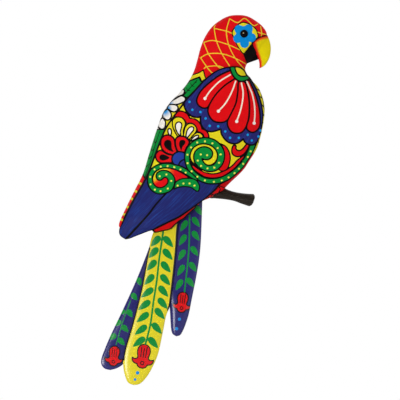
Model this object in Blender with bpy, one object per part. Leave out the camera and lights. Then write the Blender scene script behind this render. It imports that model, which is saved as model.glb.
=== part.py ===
"""Iron parrot wall art: stamped sheet shells riveted on two bridge bars, with a swinging hanger ring.

Sizes are in millimetres and are turned into metres where a mesh is made. X runs to the right and Z up,
seen from the front. "out" is the distance in front of the wall, which is -Y. The origin is the nail.
"""

import math

import bmesh
import bpy
import numpy as np
from mathutils import Vector

MM = 0.001

# Sheet and fits
SHEET = 0.9
FIT_GAP = 0.3
SEAT_GAP = 0.45
WING_GAP = 0.8
HEM = 7.0
HEM_SHARE = 0.3
DOME_POWER = 2.4

# Heights of the stamped reliefs
BODY_RISE = 27.0
BODY_TAPER = 0.6
WING_RISE = 4.5
FEATHER_RISE = 4.0
SIDE_RAMP = (22.0, 50.0)
CENTRE_RAMP = (19.0, 40.0)
BRANCH_RISE = 8.0
BEAK_RISE = 5.0

# Where the body's rim lifts off the wall, as shares of the way from crown to rump
FRONT_LIFT = (0.605, 0.675)
BACK_LIFT = (0.86, 1.0)
CROWN_LIFT = 0.45

# Bars behind the shells
BAR_THICK = 2.0
BAR_HEIGHT = 18.0
FOOT_LONG = 11.0
FOOT_RAMP = 12.0
FOOT_INSET = 2.6
LOWER_BAR_Z = -95.0

# Hanger ring and plate, in line with the centre of mass
NAIL_X = 3.5
RING_WIRE = 3.0
RING_HALF = 11.0
RING_REACH = 20.0
RING_CORNER = 3.5
EYE_PLAY = 0.4
PLATE_THICK = 1.3
PLATE_WIDE = 14.0
PLATE_LONG = 22.0
PLATE_DROP = 6.7
PLATE_PITCH = 7.0
BAR_DROP = 10.5
WALL_CLEAR = 1.5

# Rivets and studs
RIVET_SHANK = 1.6
RIVET_HEAD = 3.2
RIVET_RISE = 1.3
HOLE_PLAY = 0.25
FACET_PLAY = 0.35
STUD_SHANK = 1.8
STUD_HEAD = 3.8
EYE_HEAD = 5.0
EYE_RISE = 2.6
ROUND_STEPS = 12

# Levels that follow from the stack: ring, plate, upper bar; feathers, lower bar, rump
EYE_OUTER = RING_WIRE / 2 + EYE_PLAY + PLATE_THICK
RING_OUT = WALL_CLEAR + EYE_OUTER
PLATE_BACK = RING_OUT + EYE_OUTER - PLATE_THICK
UPPER_BAR_OUT = PLATE_BACK + PLATE_THICK + FIT_GAP
FOOT_OUT = SHEET + FIT_GAP
ROOT_OUT = FOOT_OUT + 2.0
LOWER_BAR_OUT = ROOT_OUT + SHEET + FIT_GAP
SIDE_BLADE_OUT = 0.0
CENTRE_BLADE_OUT = SIDE_BLADE_OUT + SHEET + FEATHER_RISE + SEAT_GAP
BRANCH_OUT = ROOT_OUT
TANG_RISE = SHEET
RUMP_OUT = max(CENTRE_BLADE_OUT + SHEET + FEATHER_RISE, BRANCH_OUT + BRANCH_RISE) + 2 * SEAT_GAP
RING_Z = RING_WIRE / 2 - RING_REACH
UPPER_BAR_Z = RING_Z - BAR_DROP

# Outlines, each from the top down
BACK_EDGE = [
    (62, 111), (41, 106), (27.5, 96), (17.5, 82), (11, 66), (6.5, 49), (1.5, 33), (-7, 17.5), (-18, 4),
    (-30, -9), (-40, -23), (-47.5, -41), (-54, -60), (-60, -82), (-68, -106), (-79, -130), (-90, -153),
    (-99, -175), (-95, -184),
]
FRONT_EDGE = [
    (62, 111), (81, 107), (94, 98), (101.5, 88.5), (102.5, 80), (98.5, 69), (90, 58), (81, 49), (75, 43.5),
    (73, 36), (76, 27.5), (84, 19), (92, 8), (97, -4.5), (99.3, -19), (98, -36), (94, -55), (87.5, -72.5),
    (77.5, -90.5), (64.5, -107), (50, -121), (34.5, -134), (19, -142.5), (5, -155), (-8, -165),
    (-22, -174), (-34, -182), (-50, -187), (-64, -182.5), (-80, -183), (-95, -184),
]
WING_BACK = [
    (55, 40.5), (41, 37.7), (29.5, 32), (16, 21), (4, 8), (-7.5, -5), (-15, -16), (-25, -28.5), (-37, -46),
    (-46.5, -70), (-56.5, -100), (-65, -116), (-82, -146), (-97.5, -177), (-99.5, -187), (-94, -195.5),
]
WING_FRONT = [
    (55, 40.5), (65.5, 39), (72, 32), (79, 20.5), (85.5, 13), (91, 3), (94.2, -9.5), (95.5, -26),
    (94.3, -42), (90.3, -58), (82, -78), (71, -94), (58.5, -108), (45, -119.5), (32, -129), (14, -144.5),
    (-14.5, -164), (-34, -174), (-51, -182), (-64, -187), (-78, -193), (-94, -195.5),
]
LEFT_FEATHER = [
    [(-33, -86.5), (-33.5, -112), (-37, -136), (-44, -163), (-59, -208), (-75, -249), (-92, -287),
     (-111.5, -328), (-120, -348), (-124.2, -360), (-124, -368), (-119.5, -373.5), (-112, -375.5)],
    [(-18.5, -86.5), (-18.5, -112), (-20, -136), (-25.5, -163), (-43, -211), (-57, -259), (-71, -307),
     (-82.5, -344), (-87.5, -359), (-94.5, -367.5), (-103, -373), (-112, -375.5)],
]
CENTRE_FEATHER = [
    [(-17, -86.5), (-18, -112), (-25, -136), (-36.5, -160), (-51.5, -186), (-61.5, -225), (-68.5, -259),
     (-75, -288), (-82, -319), (-88.3, -342), (-93, -362), (-92, -377), (-88, -387.5), (-84, -393),
     (-79.5, -395.5)],
    [(-2.5, -86.5), (-3, -112), (-6, -136), (-12, -157), (-20, -176), (-22.5, -209), (-25, -236), (-28, -262),
     (-31, -287), (-36, -302), (-41, -325), (-47.5, -353), (-57, -374), (-66, -386), (-73, -392.5),
     (-79.5, -395.5)],
]
RIGHT_FEATHER = [
    [(-1, -86.5), (-2, -112), (-8, -136), (-17, -163), (-26, -197), (-31, -238), (-33, -268), (-30.5, -292),
     (-28.7, -308), (-27.3, -319), (-25, -325.5), (-21, -329)],
    [(13.5, -86.5), (14, -112), (14.3, -136), (13.5, -160), (11.5, -200), (9, -225), (4.5, -251), (-0.5, -276),
     (-5.5, -299), (-11, -314), (-14.5, -322), (-17.5, -327), (-21, -329)],
]
UPPER_BEAK = [
    [(83.3, 72.2), (85.5, 63.7), (89.4, 54.5), (92, 46.5), (92.5, 38)],
    [(103.4, 83), (106.6, 74.7), (108, 65.8), (107, 55.5), (103.3, 46.6), (98, 40.5), (92.5, 38)],
]
LOWER_BEAK = [
    [(82.5, 71), (76.5, 64.3), (71.3, 57), (73, 50.5), (75.5, 45)],
    [(82.5, 71), (84.6, 63.5), (86.6, 58), (88.6, 53.5), (89.6, 50.5)],
]
BRANCH = [
    [(22.5, -86.5), (22.5, -112), (20, -131), (24, -139.5), (31.5, -140.3), (44.5, -141), (57, -143),
     (68, -147), (79, -151)],
    [(37, -86.5), (37, -110), (39.5, -121), (46.5, -127), (57, -131), (69.5, -133.2), (84.5, -134.3)],
]
BASE_BULGE = 2.8
UPPER_BEAK_OUT = (9.0, 1.0, 3.0)
LOWER_BEAK_OUT = (5.0, 5.0, 3.0)
BEAK_REACH = 1.2
WING_SEAT = (0.955, 0.90)
TIP_FROM = 0.86
TIP_OUT = RUMP_OUT + 5.0
EYE_SPOT = (71.2, 85.0)
WING_STUDS = [(45.0, -12.0), (11.0, -88.0), (-44.0, -149.0)]
ROOT_RIVETS = {"left": -26.0, "centre": -10.0, "right": 6.2}
PERCH_RIVET_X = 29.8
RIVET_PITCH = 9.0


def smooth(share):
    share = np.clip(share, 0.0, 1.0)
    return share * share * (3 - 2 * share)


def run_curve(points, shares):
    """Points at these shares of the length of a smooth curve through the given points."""
    p = np.array(points, float)
    p = np.vstack([2 * p[0] - p[1], p, 2 * p[-1] - p[-2]])
    t = np.linspace(0, 1, 16, endpoint=False)[:, None]
    spans = []
    for a, b, c, d in zip(p[:-3], p[1:-2], p[2:-1], p[3:]):
        bend = (2 * a - 5 * b + 4 * c - d) * t**2 + (3 * b - a - 3 * c + d) * t**3
        spans.append(b + 0.5 * ((c - a) * t + bend))
    dense = np.vstack(spans + [p[-2:-1]])
    length = np.concatenate([[0], np.cumsum(np.linalg.norm(np.diff(dense, axis=0), axis=1))])
    at = np.asarray(shares) * length[-1]
    return np.column_stack([np.interp(at, length, dense[:, k]) for k in (0, 1)])


def dome(u):
    return np.sqrt(np.clip(1 - np.abs(u) ** DOME_POWER, 0, 1))


def across(columns):
    """Steps from one edge (-1) to the other (1), closer together at the edges."""
    return np.sin(np.linspace(-math.pi / 2, math.pi / 2, columns))


class Loft:
    """Straight lines between two edge curves at equal shares of their lengths, with a dome across them."""

    def __init__(self, edges, rise, taper):
        self.share = np.linspace(0, 1, 241)
        self.left = run_curve(edges[0], self.share)
        self.right = run_curve(edges[1], self.share)
        wide = np.linalg.norm(self.right - self.left, axis=1)
        self.wide = wide
        self.rise = rise * (wide / wide.max()) ** taper

    def at(self, share, values):
        return np.interp(share, self.share, values)

    def edge(self, share, values):
        return np.stack([self.at(share, values[:, 0]), self.at(share, values[:, 1])], axis=-1)

    def spot(self, share, u):
        left, right = self.edge(share, self.left), self.edge(share, self.right)
        return left + (right - left) * ((u + 1) / 2)[..., None]

    def find(self, x, z):
        """The share and u of points, with u held to -1..1. A point past an end takes that end's share."""
        span = (self.right - self.left)[1:-1]
        base = self.left[1:-1]
        dx = x[:, None] - base[None, :, 0]
        dz = z[:, None] - base[None, :, 1]
        turn = span[None, :, 0] * dz - span[None, :, 1] * dx
        u = 2 * (span[None, :, 0] * dx + span[None, :, 1] * dz) / (span**2).sum(1)[None] - 1
        step = turn[:, :-1] - turn[:, 1:]
        part = turn[:, :-1] / np.where(np.abs(step) < 1e-12, 1e-12, step)
        hit = turn[:, :-1] * turn[:, 1:] <= 0
        mid = np.where(hit, u[:, :-1] + (u[:, 1:] - u[:, :-1]) * np.clip(part, 0, 1), 9.0)
        best = np.argmin(np.abs(mid), axis=1)
        row = np.arange(len(x))
        found = mid[row, best]
        where = self.share[1:-1][best] + np.clip(part[row, best], 0, 1) * (self.share[1] - self.share[0])
        first = np.hypot(x - base[0, 0], z - base[0, 1]) < np.hypot(x - base[-1, 0], z - base[-1, 1])
        missed = found > 8
        where = np.where(missed, np.where(first, 0.0, 1.0), where)
        return where, np.clip(found, -1, 1)


BODY = Loft((BACK_EDGE, FRONT_EDGE), BODY_RISE, BODY_TAPER)
WING = Loft((WING_BACK, WING_FRONT), WING_RISE, 0.5)


def body_rim(share):
    back = RUMP_OUT * smooth((share - BACK_LIFT[0]) / (BACK_LIFT[1] - BACK_LIFT[0]))
    front = RUMP_OUT * smooth((share - FRONT_LIFT[0]) / (FRONT_LIFT[1] - FRONT_LIFT[0]))
    return back, front


def body_height(share, u):
    back, front = body_rim(share)
    crown = BODY.at(share, BODY.rise) + RUMP_OUT * smooth((share - CROWN_LIFT) / (1 - CROWN_LIFT))
    return back + (front - back) * (u + 1) / 2 + (crown - (back + front) / 2) * dome(u)


def body_front(x, z, share_most=1.0, u_most=1.0):
    """How far out the body's front face is at these points, run on level past a share and a u."""
    x, z = np.asarray(x, float), np.asarray(z, float)
    share, u = BODY.find(x.ravel(), z.ravel())
    return body_height(np.minimum(share, share_most), np.clip(u, -u_most, u_most)).reshape(x.shape)


def body_point(x, z, lift, share_most=1.0, u_most=1.0):
    """Points lifted along the normal of the body's front face, and those normals."""
    d = 0.5
    most = (share_most, u_most)
    slope_x = (body_front(x + d, z, *most) - body_front(x - d, z, *most)) / (2 * d)
    slope_z = (body_front(x, z + d, *most) - body_front(x, z - d, *most)) / (2 * d)
    normal = np.stack([-slope_x, -slope_z, np.ones_like(slope_x)], axis=-1)
    normal /= np.linalg.norm(normal, axis=-1, keepdims=True)
    point = np.stack([x, z, body_front(x, z, *most)], axis=-1)
    return point + normal * np.asarray(lift)[..., None], normal


def cover(x, z, reach):
    """The highest the body's front face gets within this reach of these points."""
    best = body_front(x, z)
    for k in range(8):
        side, up = reach * math.cos(k * math.pi / 4), reach * math.sin(k * math.pi / 4)
        best = np.maximum(best, body_front(x + side, z + up))
    return best


def wing_relief(share, u):
    return WING.at(share, WING.rise) * dome(u)


def aim(directions):
    """Directions (x, z, out) as (X, Y, Z)."""
    p = np.asarray(directions, float)
    return np.stack([p[..., 0], -p[..., 2], p[..., 1]], axis=-1)


def place(points):
    """Millimetre points (x, z, out) as metre coordinates (X, Y, Z) from the nail."""
    return (aim(points) - np.array([NAIL_X, 0.0, 0.0])) * MM


def paint(name, colour, roughness, metallic=0.0):
    material = bpy.data.materials.new(name)
    material.use_nodes = True
    shader = material.node_tree.nodes["Principled BSDF"]
    shader.inputs["Base Color"].default_value = (*colour, 1.0)
    shader.inputs["Roughness"].default_value = roughness
    shader.inputs["Metallic"].default_value = metallic
    return material


def add_object(name, mesh_data, material):
    mesh = bpy.data.meshes.new(name)
    mesh_data.to_mesh(mesh)
    mesh_data.free()
    for polygon in mesh.polygons:
        polygon.use_smooth = True
    mesh.materials.append(material)
    item = bpy.data.objects.new(name, mesh)
    bpy.context.scene.collection.objects.link(item)
    return item


def sheet(name, grid, material, thick, outward):
    """A sheet over a grid of points. The grid is its back face if outward, else its front face."""
    points = place(grid)
    rows, columns = points.shape[:2]
    mesh = bmesh.new()
    verts = [mesh.verts.new(p) for p in points.reshape(-1, 3)]
    for i in range(rows - 1):
        for j in range(columns - 1):
            a = i * columns + j
            mesh.faces.new([verts[k] for k in (a, a + columns, a + columns + 1, a + 1)])
    bmesh.ops.remove_doubles(mesh, verts=mesh.verts, dist=1e-6)
    mesh.normal_update()
    item = add_object(name, mesh, material)
    wall = item.modifiers.new("sheet", "SOLIDIFY")
    wall.thickness = thick * MM
    wall.offset = 1.0 if outward else -1.0
    wall.use_even_offset = outward
    wall.use_quality_normals = True
    return item


def turned(name, profile, material, spot, axis, steps=ROUND_STEPS):
    """A body turned about an axis: profile lists (radius, height), with radius 0 at both ends."""
    mesh = bmesh.new()
    rings = []
    for radius, height in profile:
        if radius == 0:
            rings.append([mesh.verts.new((0, 0, height * MM))])
            continue
        angles = [2 * math.pi * k / steps for k in range(steps)]
        circle = [(radius * math.cos(a), radius * math.sin(a), height) for a in angles]
        rings.append([mesh.verts.new(Vector(p) * MM) for p in circle])
    for low, high in zip(rings, rings[1:]):
        for k in range(steps):
            n = (k + 1) % steps
            corners = [low[k % len(low)], low[n % len(low)], high[n % len(high)], high[k % len(high)]]
            mesh.faces.new(list(dict.fromkeys(corners)))
    bmesh.ops.recalc_face_normals(mesh, faces=mesh.faces)
    turn = Vector((0, 0, 1)).rotation_difference(Vector(axis)).to_matrix().to_4x4()
    bmesh.ops.transform(mesh, matrix=turn, verts=mesh.verts)
    bmesh.ops.translate(mesh, vec=Vector(place(spot)), verts=mesh.verts)
    return add_object(name, mesh, material)


def drill(item, radius, spot, axis, reach):
    """A round hole through a sheet or bar, with play around the shank."""
    profile = [(0, -reach), (radius, -reach), (radius, reach), (0, reach)]
    cutter = turned(item.name + "_hole", profile, item.data.materials[0], spot, axis)
    cutter.hide_render = True
    cutter.display_type = "WIRE"
    cut = item.modifiers.new("hole", "BOOLEAN")
    cut.operation = "DIFFERENCE"
    cut.solver = "EXACT"
    cut.object = cutter


def rivet(name, x, z, back, front, material, pieces):
    """A round-headed rivet through pieces that lie between two levels."""
    low, high = back - FIT_GAP, front + FIT_GAP
    head = RIVET_HEAD
    profile = [
        (0, low - RIVET_RISE), (head * 0.7, low - RIVET_RISE * 0.75), (head, low), (RIVET_SHANK, low),
        (RIVET_SHANK, high), (head, high), (head * 0.7, high + RIVET_RISE * 0.75), (0, high + RIVET_RISE),
    ]
    out = Vector((0, -1, 0))
    for piece in pieces:
        drill(piece, RIVET_SHANK + HOLE_PLAY, (x, z, (back + front) / 2), out, front - back + 4)
    return turned(name, profile, material, (x, z, 0), out)


def rim_x(z, edge):
    """Where the body's outline is at this height."""
    order = np.argsort(edge[:, 1])
    return float(np.interp(z, edge[order, 1], edge[order, 0]))


def bridge_bar(name, z, level, material):
    """A flat bar whose feet lie on the hem and whose middle stands out at a level."""
    rows = []
    for edge_z in (z + BAR_HEIGHT / 2, z - BAR_HEIGHT / 2):
        left = rim_x(edge_z, BODY.left) + FOOT_INSET
        right = rim_x(edge_z, BODY.right) - FOOT_INSET
        xs = [left, left + FOOT_LONG, left + FOOT_LONG + FOOT_RAMP]
        xs += [right - FOOT_LONG - FOOT_RAMP, right - FOOT_LONG, right]
        outs = [FOOT_OUT, FOOT_OUT, level, level, FOOT_OUT, FOOT_OUT]
        rows.append([(x, edge_z, out) for x, out in zip(xs, outs)])
    return sheet(name, np.array(rows), material, BAR_THICK, True)


def feather(name, edges, level, ramp, material):
    """A domed tail feather: a flat root on the bar, then a ramp to the blade's own level."""
    loft = Loft(edges, FEATHER_RISE, 0.4)
    steps = np.linspace(0, 1, 20)
    share = 0.55 * steps + 0.45 * np.sin(steps * math.pi / 2)
    s, u = np.meshgrid(share, across(7), indexing="ij")
    spot = loft.spot(s, u)
    start = loft.spot(np.zeros(1), np.zeros(1))[0]
    run = np.linalg.norm(loft.spot(share, np.zeros_like(share)) - start, axis=1)
    grow = smooth((run - ramp[0]) / (ramp[1] - ramp[0]))[:, None]
    out = ROOT_OUT + (level - ROOT_OUT) * grow + loft.at(s, loft.rise) * dome(u) * grow
    return sheet(name, np.dstack([spot, out]), material, SHEET, True)


def beak(name, edges, bulge, levels, rise, material):
    """A beak half laid on the head: its own dome, raised wherever the head is higher."""
    loft = Loft(edges, 1.0, 0.0)
    s, u = np.meshgrid(np.linspace(0, 1, 12), across(8), indexing="ij")
    spot = loft.spot(s, u)
    base = loft.right[0] - loft.left[0]
    side = np.array([-base[1], base[0]]) / max(np.linalg.norm(base), 1e-6)
    spot = spot + side * (bulge * (1 - u**2) * (1 - s) ** 3)[..., None]
    inner = levels[0] + (levels[2] - levels[0]) * s
    outer = levels[1] + (levels[2] - levels[1]) * s
    own = inner + (outer - inner) * (u + 1) / 2 + rise * (1 - 0.5 * s) * dome(u)
    lean = cover(spot[..., 0], spot[..., 1], BEAK_REACH) + SEAT_GAP
    return sheet(name, np.dstack([spot, np.maximum(own, lean)]), material, SHEET, True)


def solid_loft(name, edges, level, rise, material):
    """A solid bar with a flat back and a domed front between two edge curves."""
    loft = Loft(edges, 1.0, 0.0)
    s, u = np.meshgrid(np.linspace(0, 1, 16), across(9), indexing="ij")
    spot = loft.spot(s, u)
    grow = smooth((s - 0.3) / 0.25)
    front = TANG_RISE + (rise - TANG_RISE) * grow
    flare = 0.25 * rise * smooth((s - 0.75) / 0.25)
    out = level + FIT_GAP + (front + flare - FIT_GAP) * (1 - grow + grow * dome(u))
    return cap_grid(name, np.dstack([spot, out]), level, material)


def cap_grid(name, grid, level, material):
    """Closes a domed grid with a flat back at a level and walls around its edge."""
    rows, columns = grid.shape[:2]
    floor = grid.copy()
    floor[..., 2] = level
    mesh = bmesh.new()
    top = [mesh.verts.new(p) for p in place(grid).reshape(-1, 3)]
    low = [mesh.verts.new(p) for p in place(floor).reshape(-1, 3)]
    for i in range(rows - 1):
        for j in range(columns - 1):
            a = i * columns + j
            ring = (a, a + 1, a + columns + 1, a + columns)
            mesh.faces.new([top[k] for k in ring])
            mesh.faces.new([low[k] for k in reversed(ring)])
    edge = [j for j in range(columns)]
    edge += [i * columns + columns - 1 for i in range(1, rows)]
    edge += [(rows - 1) * columns + j for j in range(columns - 2, -1, -1)]
    edge += [i * columns for i in range(rows - 2, 0, -1)]
    for a, b in zip(edge, edge[1:] + edge[:1]):
        mesh.faces.new([top[a], low[a], low[b], top[b]])
    bmesh.ops.recalc_face_normals(mesh, faces=mesh.faces)
    return add_object(name, mesh, material)


def body_shell(material):
    steps = np.linspace(0, 1, 40)
    share = 0.6 * steps + 0.4 * (1 - np.cos(steps * math.pi)) / 2
    s, u = np.meshgrid(share, across(17), indexing="ij")
    spot = BODY.spot(s, u)
    front = np.dstack([spot, body_height(s, u)])
    back_rim, front_rim = body_rim(share)
    left, right = BODY.edge(share, BODY.left), BODY.edge(share, BODY.right)
    wide = BODY.at(share, BODY.wide)
    turn = (np.minimum(HEM, HEM_SHARE * wide) / np.maximum(wide, 1e-6))[:, None]
    left_hem = np.column_stack([left + (right - left) * turn, back_rim])[:, None]
    right_hem = np.column_stack([right + (left - right) * turn, front_rim])[:, None]
    return sheet("body_shell", np.concatenate([left_hem, front, right_hem], axis=1), material, SHEET, False)


def wing_shell(material):
    steps = np.linspace(0, 1, 30)
    share = 0.6 * steps + 0.4 * (1 - np.cos(steps * math.pi)) / 2
    s, u = np.meshgrid(share, across(13), indexing="ij")
    spot = WING.spot(s, u)
    grid, _ = body_point(spot[..., 0], spot[..., 1], WING_GAP + wing_relief(s, u), *WING_SEAT)
    turn = np.searchsorted(share, TIP_FROM)
    drop = ((share[turn:] - share[turn]) / (1 - share[turn]))[:, None]
    slope = grid[turn, :, 2] + (TIP_OUT - grid[turn, :, 2]) * drop
    under = body_front(spot[turn:, :, 0], spot[turn:, :, 1], *WING_SEAT) + WING_GAP
    grid[turn:, :, :2] = spot[turn:]
    grid[turn:, :, 2] = np.maximum(slope, np.where(drop < 1, under, 0))
    return sheet("wing_shell", grid, material, SHEET, True)


def wing_stud(number, x, z, material, body):
    """A stud under the wing, through a hole in the body and clinched inside."""
    share, u = WING.find(np.array([x]), np.array([z]))
    room = WING_GAP + float(wing_relief(share, u)[0])
    point, normal = body_point(np.array([x]), np.array([z]), np.zeros(1))
    axis = Vector(aim(normal[0]))
    seat = FIT_GAP + FACET_PLAY
    inner = -SHEET - seat
    profile = [
        (0, inner - RIVET_RISE), (STUD_HEAD * 0.8, inner - RIVET_RISE), (STUD_HEAD, inner),
        (STUD_SHANK, inner), (STUD_SHANK, seat), (STUD_HEAD, seat), (STUD_HEAD, room - seat), (0, room - seat),
    ]
    drill(body, STUD_SHANK + HOLE_PLAY, point[0], axis, 4.0)
    turned(f"wing_stud_{number}", profile, material, point[0], axis)


def eye_stud(material, body):
    """The domed eye, its shank through the head and clinched inside."""
    x, z = EYE_SPOT
    point, normal = body_point(np.array([x]), np.array([z]), np.zeros(1))
    axis = Vector(aim(normal[0]))
    inner = -SHEET - FIT_GAP - FACET_PLAY
    profile = [
        (0, inner - RIVET_RISE), (RIVET_HEAD * 0.8, inner - RIVET_RISE), (RIVET_HEAD, inner),
        (RIVET_SHANK, inner), (RIVET_SHANK, FIT_GAP), (EYE_HEAD, FIT_GAP),
        (EYE_HEAD * 0.93, FIT_GAP + EYE_RISE * 0.45),
        (EYE_HEAD * 0.68, FIT_GAP + EYE_RISE * 0.78), (EYE_HEAD * 0.35, FIT_GAP + EYE_RISE * 0.95),
        (0, FIT_GAP + EYE_RISE),
    ]
    drill(body, RIVET_SHANK + HOLE_PLAY, point[0], axis, 4.0)
    turned("eye_stud", profile, material, point[0], axis, 16)


def hanger_plate(material):
    """A leaf with a rolled eye at its top: the outline in out and z, drawn along X, with the bore cut."""
    start = math.asin(min(1.0, (EYE_OUTER - PLATE_THICK) / EYE_OUTER))
    angles = np.linspace(0, math.pi * 1.5 + start, 22)
    outline = [(RING_OUT + EYE_OUTER * math.cos(a), RING_Z + EYE_OUTER * math.sin(a)) for a in angles]
    foot = RING_Z - PLATE_LONG
    outline += [(PLATE_BACK, foot), (PLATE_BACK + PLATE_THICK, foot)]
    mesh = bmesh.new()
    ends = []
    for x in (NAIL_X - PLATE_WIDE / 2, NAIL_X + PLATE_WIDE / 2):
        ends.append([mesh.verts.new(place((x, z, out))) for out, z in outline])
    mesh.faces.new(ends[0])
    mesh.faces.new(list(reversed(ends[1])))
    for k in range(len(outline)):
        n = (k + 1) % len(outline)
        mesh.faces.new([ends[0][n], ends[0][k], ends[1][k], ends[1][n]])
    bmesh.ops.recalc_face_normals(mesh, faces=mesh.faces)
    item = add_object("hanger_plate", mesh, material)
    drill(item, RING_WIRE / 2 + EYE_PLAY, (NAIL_X, RING_Z, RING_OUT), Vector((1, 0, 0)), PLATE_WIDE)
    return item


def hanger_ring(material):
    """A closed D of round wire, hanging from the plate's eye. Its origin is on the hinge axis."""
    arc = np.linspace(0, 1, 6)[1:-1]
    inset = RING_HALF - RING_CORNER
    path = [(-inset, 0.0), (-inset / 3, 0.0), (inset / 3, 0.0), (inset, 0.0)]
    for a in math.pi / 2 * (1 - arc):
        path.append((inset + RING_CORNER * math.cos(a), -RING_CORNER + RING_CORNER * math.sin(a)))
    low = RING_HALF - RING_REACH
    path.append((RING_HALF, -RING_CORNER))
    for a in -np.linspace(0, math.pi, 17):
        path.append((RING_HALF * math.cos(a), low + RING_HALF * math.sin(a)))
    path.append((-RING_HALF, -RING_CORNER))
    for a in math.pi - math.pi / 2 * arc:
        path.append((-inset + RING_CORNER * math.cos(a), -RING_CORNER + RING_CORNER * math.sin(a)))
    p = np.array(path)
    along = np.roll(p, -1, axis=0) - np.roll(p, 1, axis=0)
    along /= np.linalg.norm(along, axis=1, keepdims=True)
    around = np.linspace(0, 2 * math.pi, 8, endpoint=False)
    radius = RING_WIRE / 2
    mesh = bmesh.new()
    rings = []
    for (x, z), (tx, tz) in zip(p, along):
        ring = []
        for a in around:
            side = radius * math.cos(a)
            ring.append((x + side * tz, z - side * tx, radius * math.sin(a)))
        rings.append([mesh.verts.new(aim(q) * MM) for q in ring])
    for i in range(len(rings)):
        near, far = rings[i], rings[(i + 1) % len(rings)]
        for k in range(len(around)):
            n = (k + 1) % len(around)
            mesh.faces.new([near[k], near[n], far[n], far[k]])
    bmesh.ops.recalc_face_normals(mesh, faces=mesh.faces)
    item = add_object("hanger_ring", mesh, material)
    item.location = Vector(place((NAIL_X, RING_Z, RING_OUT)))
    return item


def build():
    for old in list(bpy.data.objects):
        bpy.data.objects.remove(old, do_unlink=True)
    red = paint("red_enamel", (0.62, 0.03, 0.03), 0.35)
    yellow = paint("yellow_enamel", (0.90, 0.62, 0.03), 0.35)
    blue = paint("blue_enamel", (0.05, 0.10, 0.42), 0.35)
    black = paint("black_enamel", (0.015, 0.015, 0.015), 0.30)
    brown = paint("brown_enamel", (0.09, 0.05, 0.03), 0.50)
    iron = paint("dark_iron", (0.05, 0.05, 0.05), 0.55, 0.8)
    steel = paint("zinc_steel", (0.45, 0.45, 0.44), 0.40, 1.0)

    body = body_shell(red)
    wing_shell(yellow)
    for number, (x, z) in enumerate(WING_STUDS, 1):
        wing_stud(number, x, z, steel, body)
    eye_stud(black, body)
    beak("upper_beak", UPPER_BEAK, BASE_BULGE, UPPER_BEAK_OUT, BEAK_RISE, yellow)
    beak("lower_beak", LOWER_BEAK, 0.0, LOWER_BEAK_OUT, BEAK_RISE * 0.6, black)

    upper = bridge_bar("upper_bar", UPPER_BAR_Z, UPPER_BAR_OUT, iron)
    plate = hanger_plate(steel)
    hanger_ring(steel)
    front = UPPER_BAR_OUT + BAR_THICK
    for number in (1, 2):
        z = RING_Z - PLATE_DROP - PLATE_PITCH * (number - 1)
        rivet(f"hanger_rivet_{number}", NAIL_X, z, PLATE_BACK, front, steel, (plate, upper))

    lower = bridge_bar("lower_bar", LOWER_BAR_Z, LOWER_BAR_OUT, iron)
    front = LOWER_BAR_OUT + BAR_THICK
    tails = {
        "left": feather("tail_feather_left", LEFT_FEATHER, SIDE_BLADE_OUT, SIDE_RAMP, blue),
        "centre": feather("tail_feather_centre", CENTRE_FEATHER, CENTRE_BLADE_OUT, CENTRE_RAMP, yellow),
        "right": feather("tail_feather_right", RIGHT_FEATHER, SIDE_BLADE_OUT, SIDE_RAMP, blue),
    }
    branch = solid_loft("perch_branch", BRANCH, BRANCH_OUT, BRANCH_RISE, brown)
    for k, z in enumerate((LOWER_BAR_Z + RIVET_PITCH / 2, LOWER_BAR_Z - RIVET_PITCH / 2), 1):
        for side, x in ROOT_RIVETS.items():
            rivet(f"tail_rivet_{side}_{k}", x, z, ROOT_OUT, front, steel, (tails[side], lower))
        rivet(f"perch_rivet_{k}", PERCH_RIVET_X, z, BRANCH_OUT, front, steel, (branch, lower))


build()
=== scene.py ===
import math

import bpy
import numpy as np
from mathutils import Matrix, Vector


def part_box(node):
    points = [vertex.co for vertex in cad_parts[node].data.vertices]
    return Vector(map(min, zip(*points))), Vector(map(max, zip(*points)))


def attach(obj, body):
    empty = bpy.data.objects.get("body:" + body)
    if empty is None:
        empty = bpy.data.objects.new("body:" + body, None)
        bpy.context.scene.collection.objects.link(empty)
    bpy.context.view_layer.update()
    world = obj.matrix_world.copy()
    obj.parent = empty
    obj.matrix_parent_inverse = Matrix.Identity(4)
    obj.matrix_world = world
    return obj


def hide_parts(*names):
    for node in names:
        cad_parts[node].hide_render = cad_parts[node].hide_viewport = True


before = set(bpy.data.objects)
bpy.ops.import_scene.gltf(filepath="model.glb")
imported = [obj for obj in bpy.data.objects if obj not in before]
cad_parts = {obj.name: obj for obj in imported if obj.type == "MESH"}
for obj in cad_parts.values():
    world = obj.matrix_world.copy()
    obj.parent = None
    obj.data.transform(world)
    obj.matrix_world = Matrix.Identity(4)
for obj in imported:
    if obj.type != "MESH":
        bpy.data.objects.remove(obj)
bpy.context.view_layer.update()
print("frame loaded:", len(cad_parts), "nodes")

# Lengths below are millimetres in the drawing: x to the right, z up, out = distance in front of the wall.
# Printed shapes are in pixels of the photograph, where the drawing's zero is at photo["zero"].
mm = 0.001
nailX = 3.5  # the drawing's x of the nail, the frame's origin
photo = {"zero": (192.0, 96.0), "mmPerPixel": 1.37, "side": 400}
sheetThick = 0.9
partSize = 3000  # points that are worked on at a time


def crop(left, top, zoom):  # reads points off an enlarged crop of the photograph
    return lambda points: [(left + x / zoom, top + y / zoom) for x, y in points]


upperCrop = crop(140, 0, 9.8)
middleCrop = crop(110, 130, 9.8)
tailCrop = crop(90, 200, 8.2526)
flowerCrop = crop(155, 105, 26.133)
backCrop = crop(155, 75, 28.51)
headCrop = crop(225, 10, 28.51)
footCrop = crop(195, 170, 31.36)
curlZoom = 37.333  # one enlargement for both spirals
spiralCrop = crop(184, 136, curlZoom)
curlCrop = crop(145, 164, curlZoom)
petalCrop = crop(160, 115, 39.2)

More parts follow.
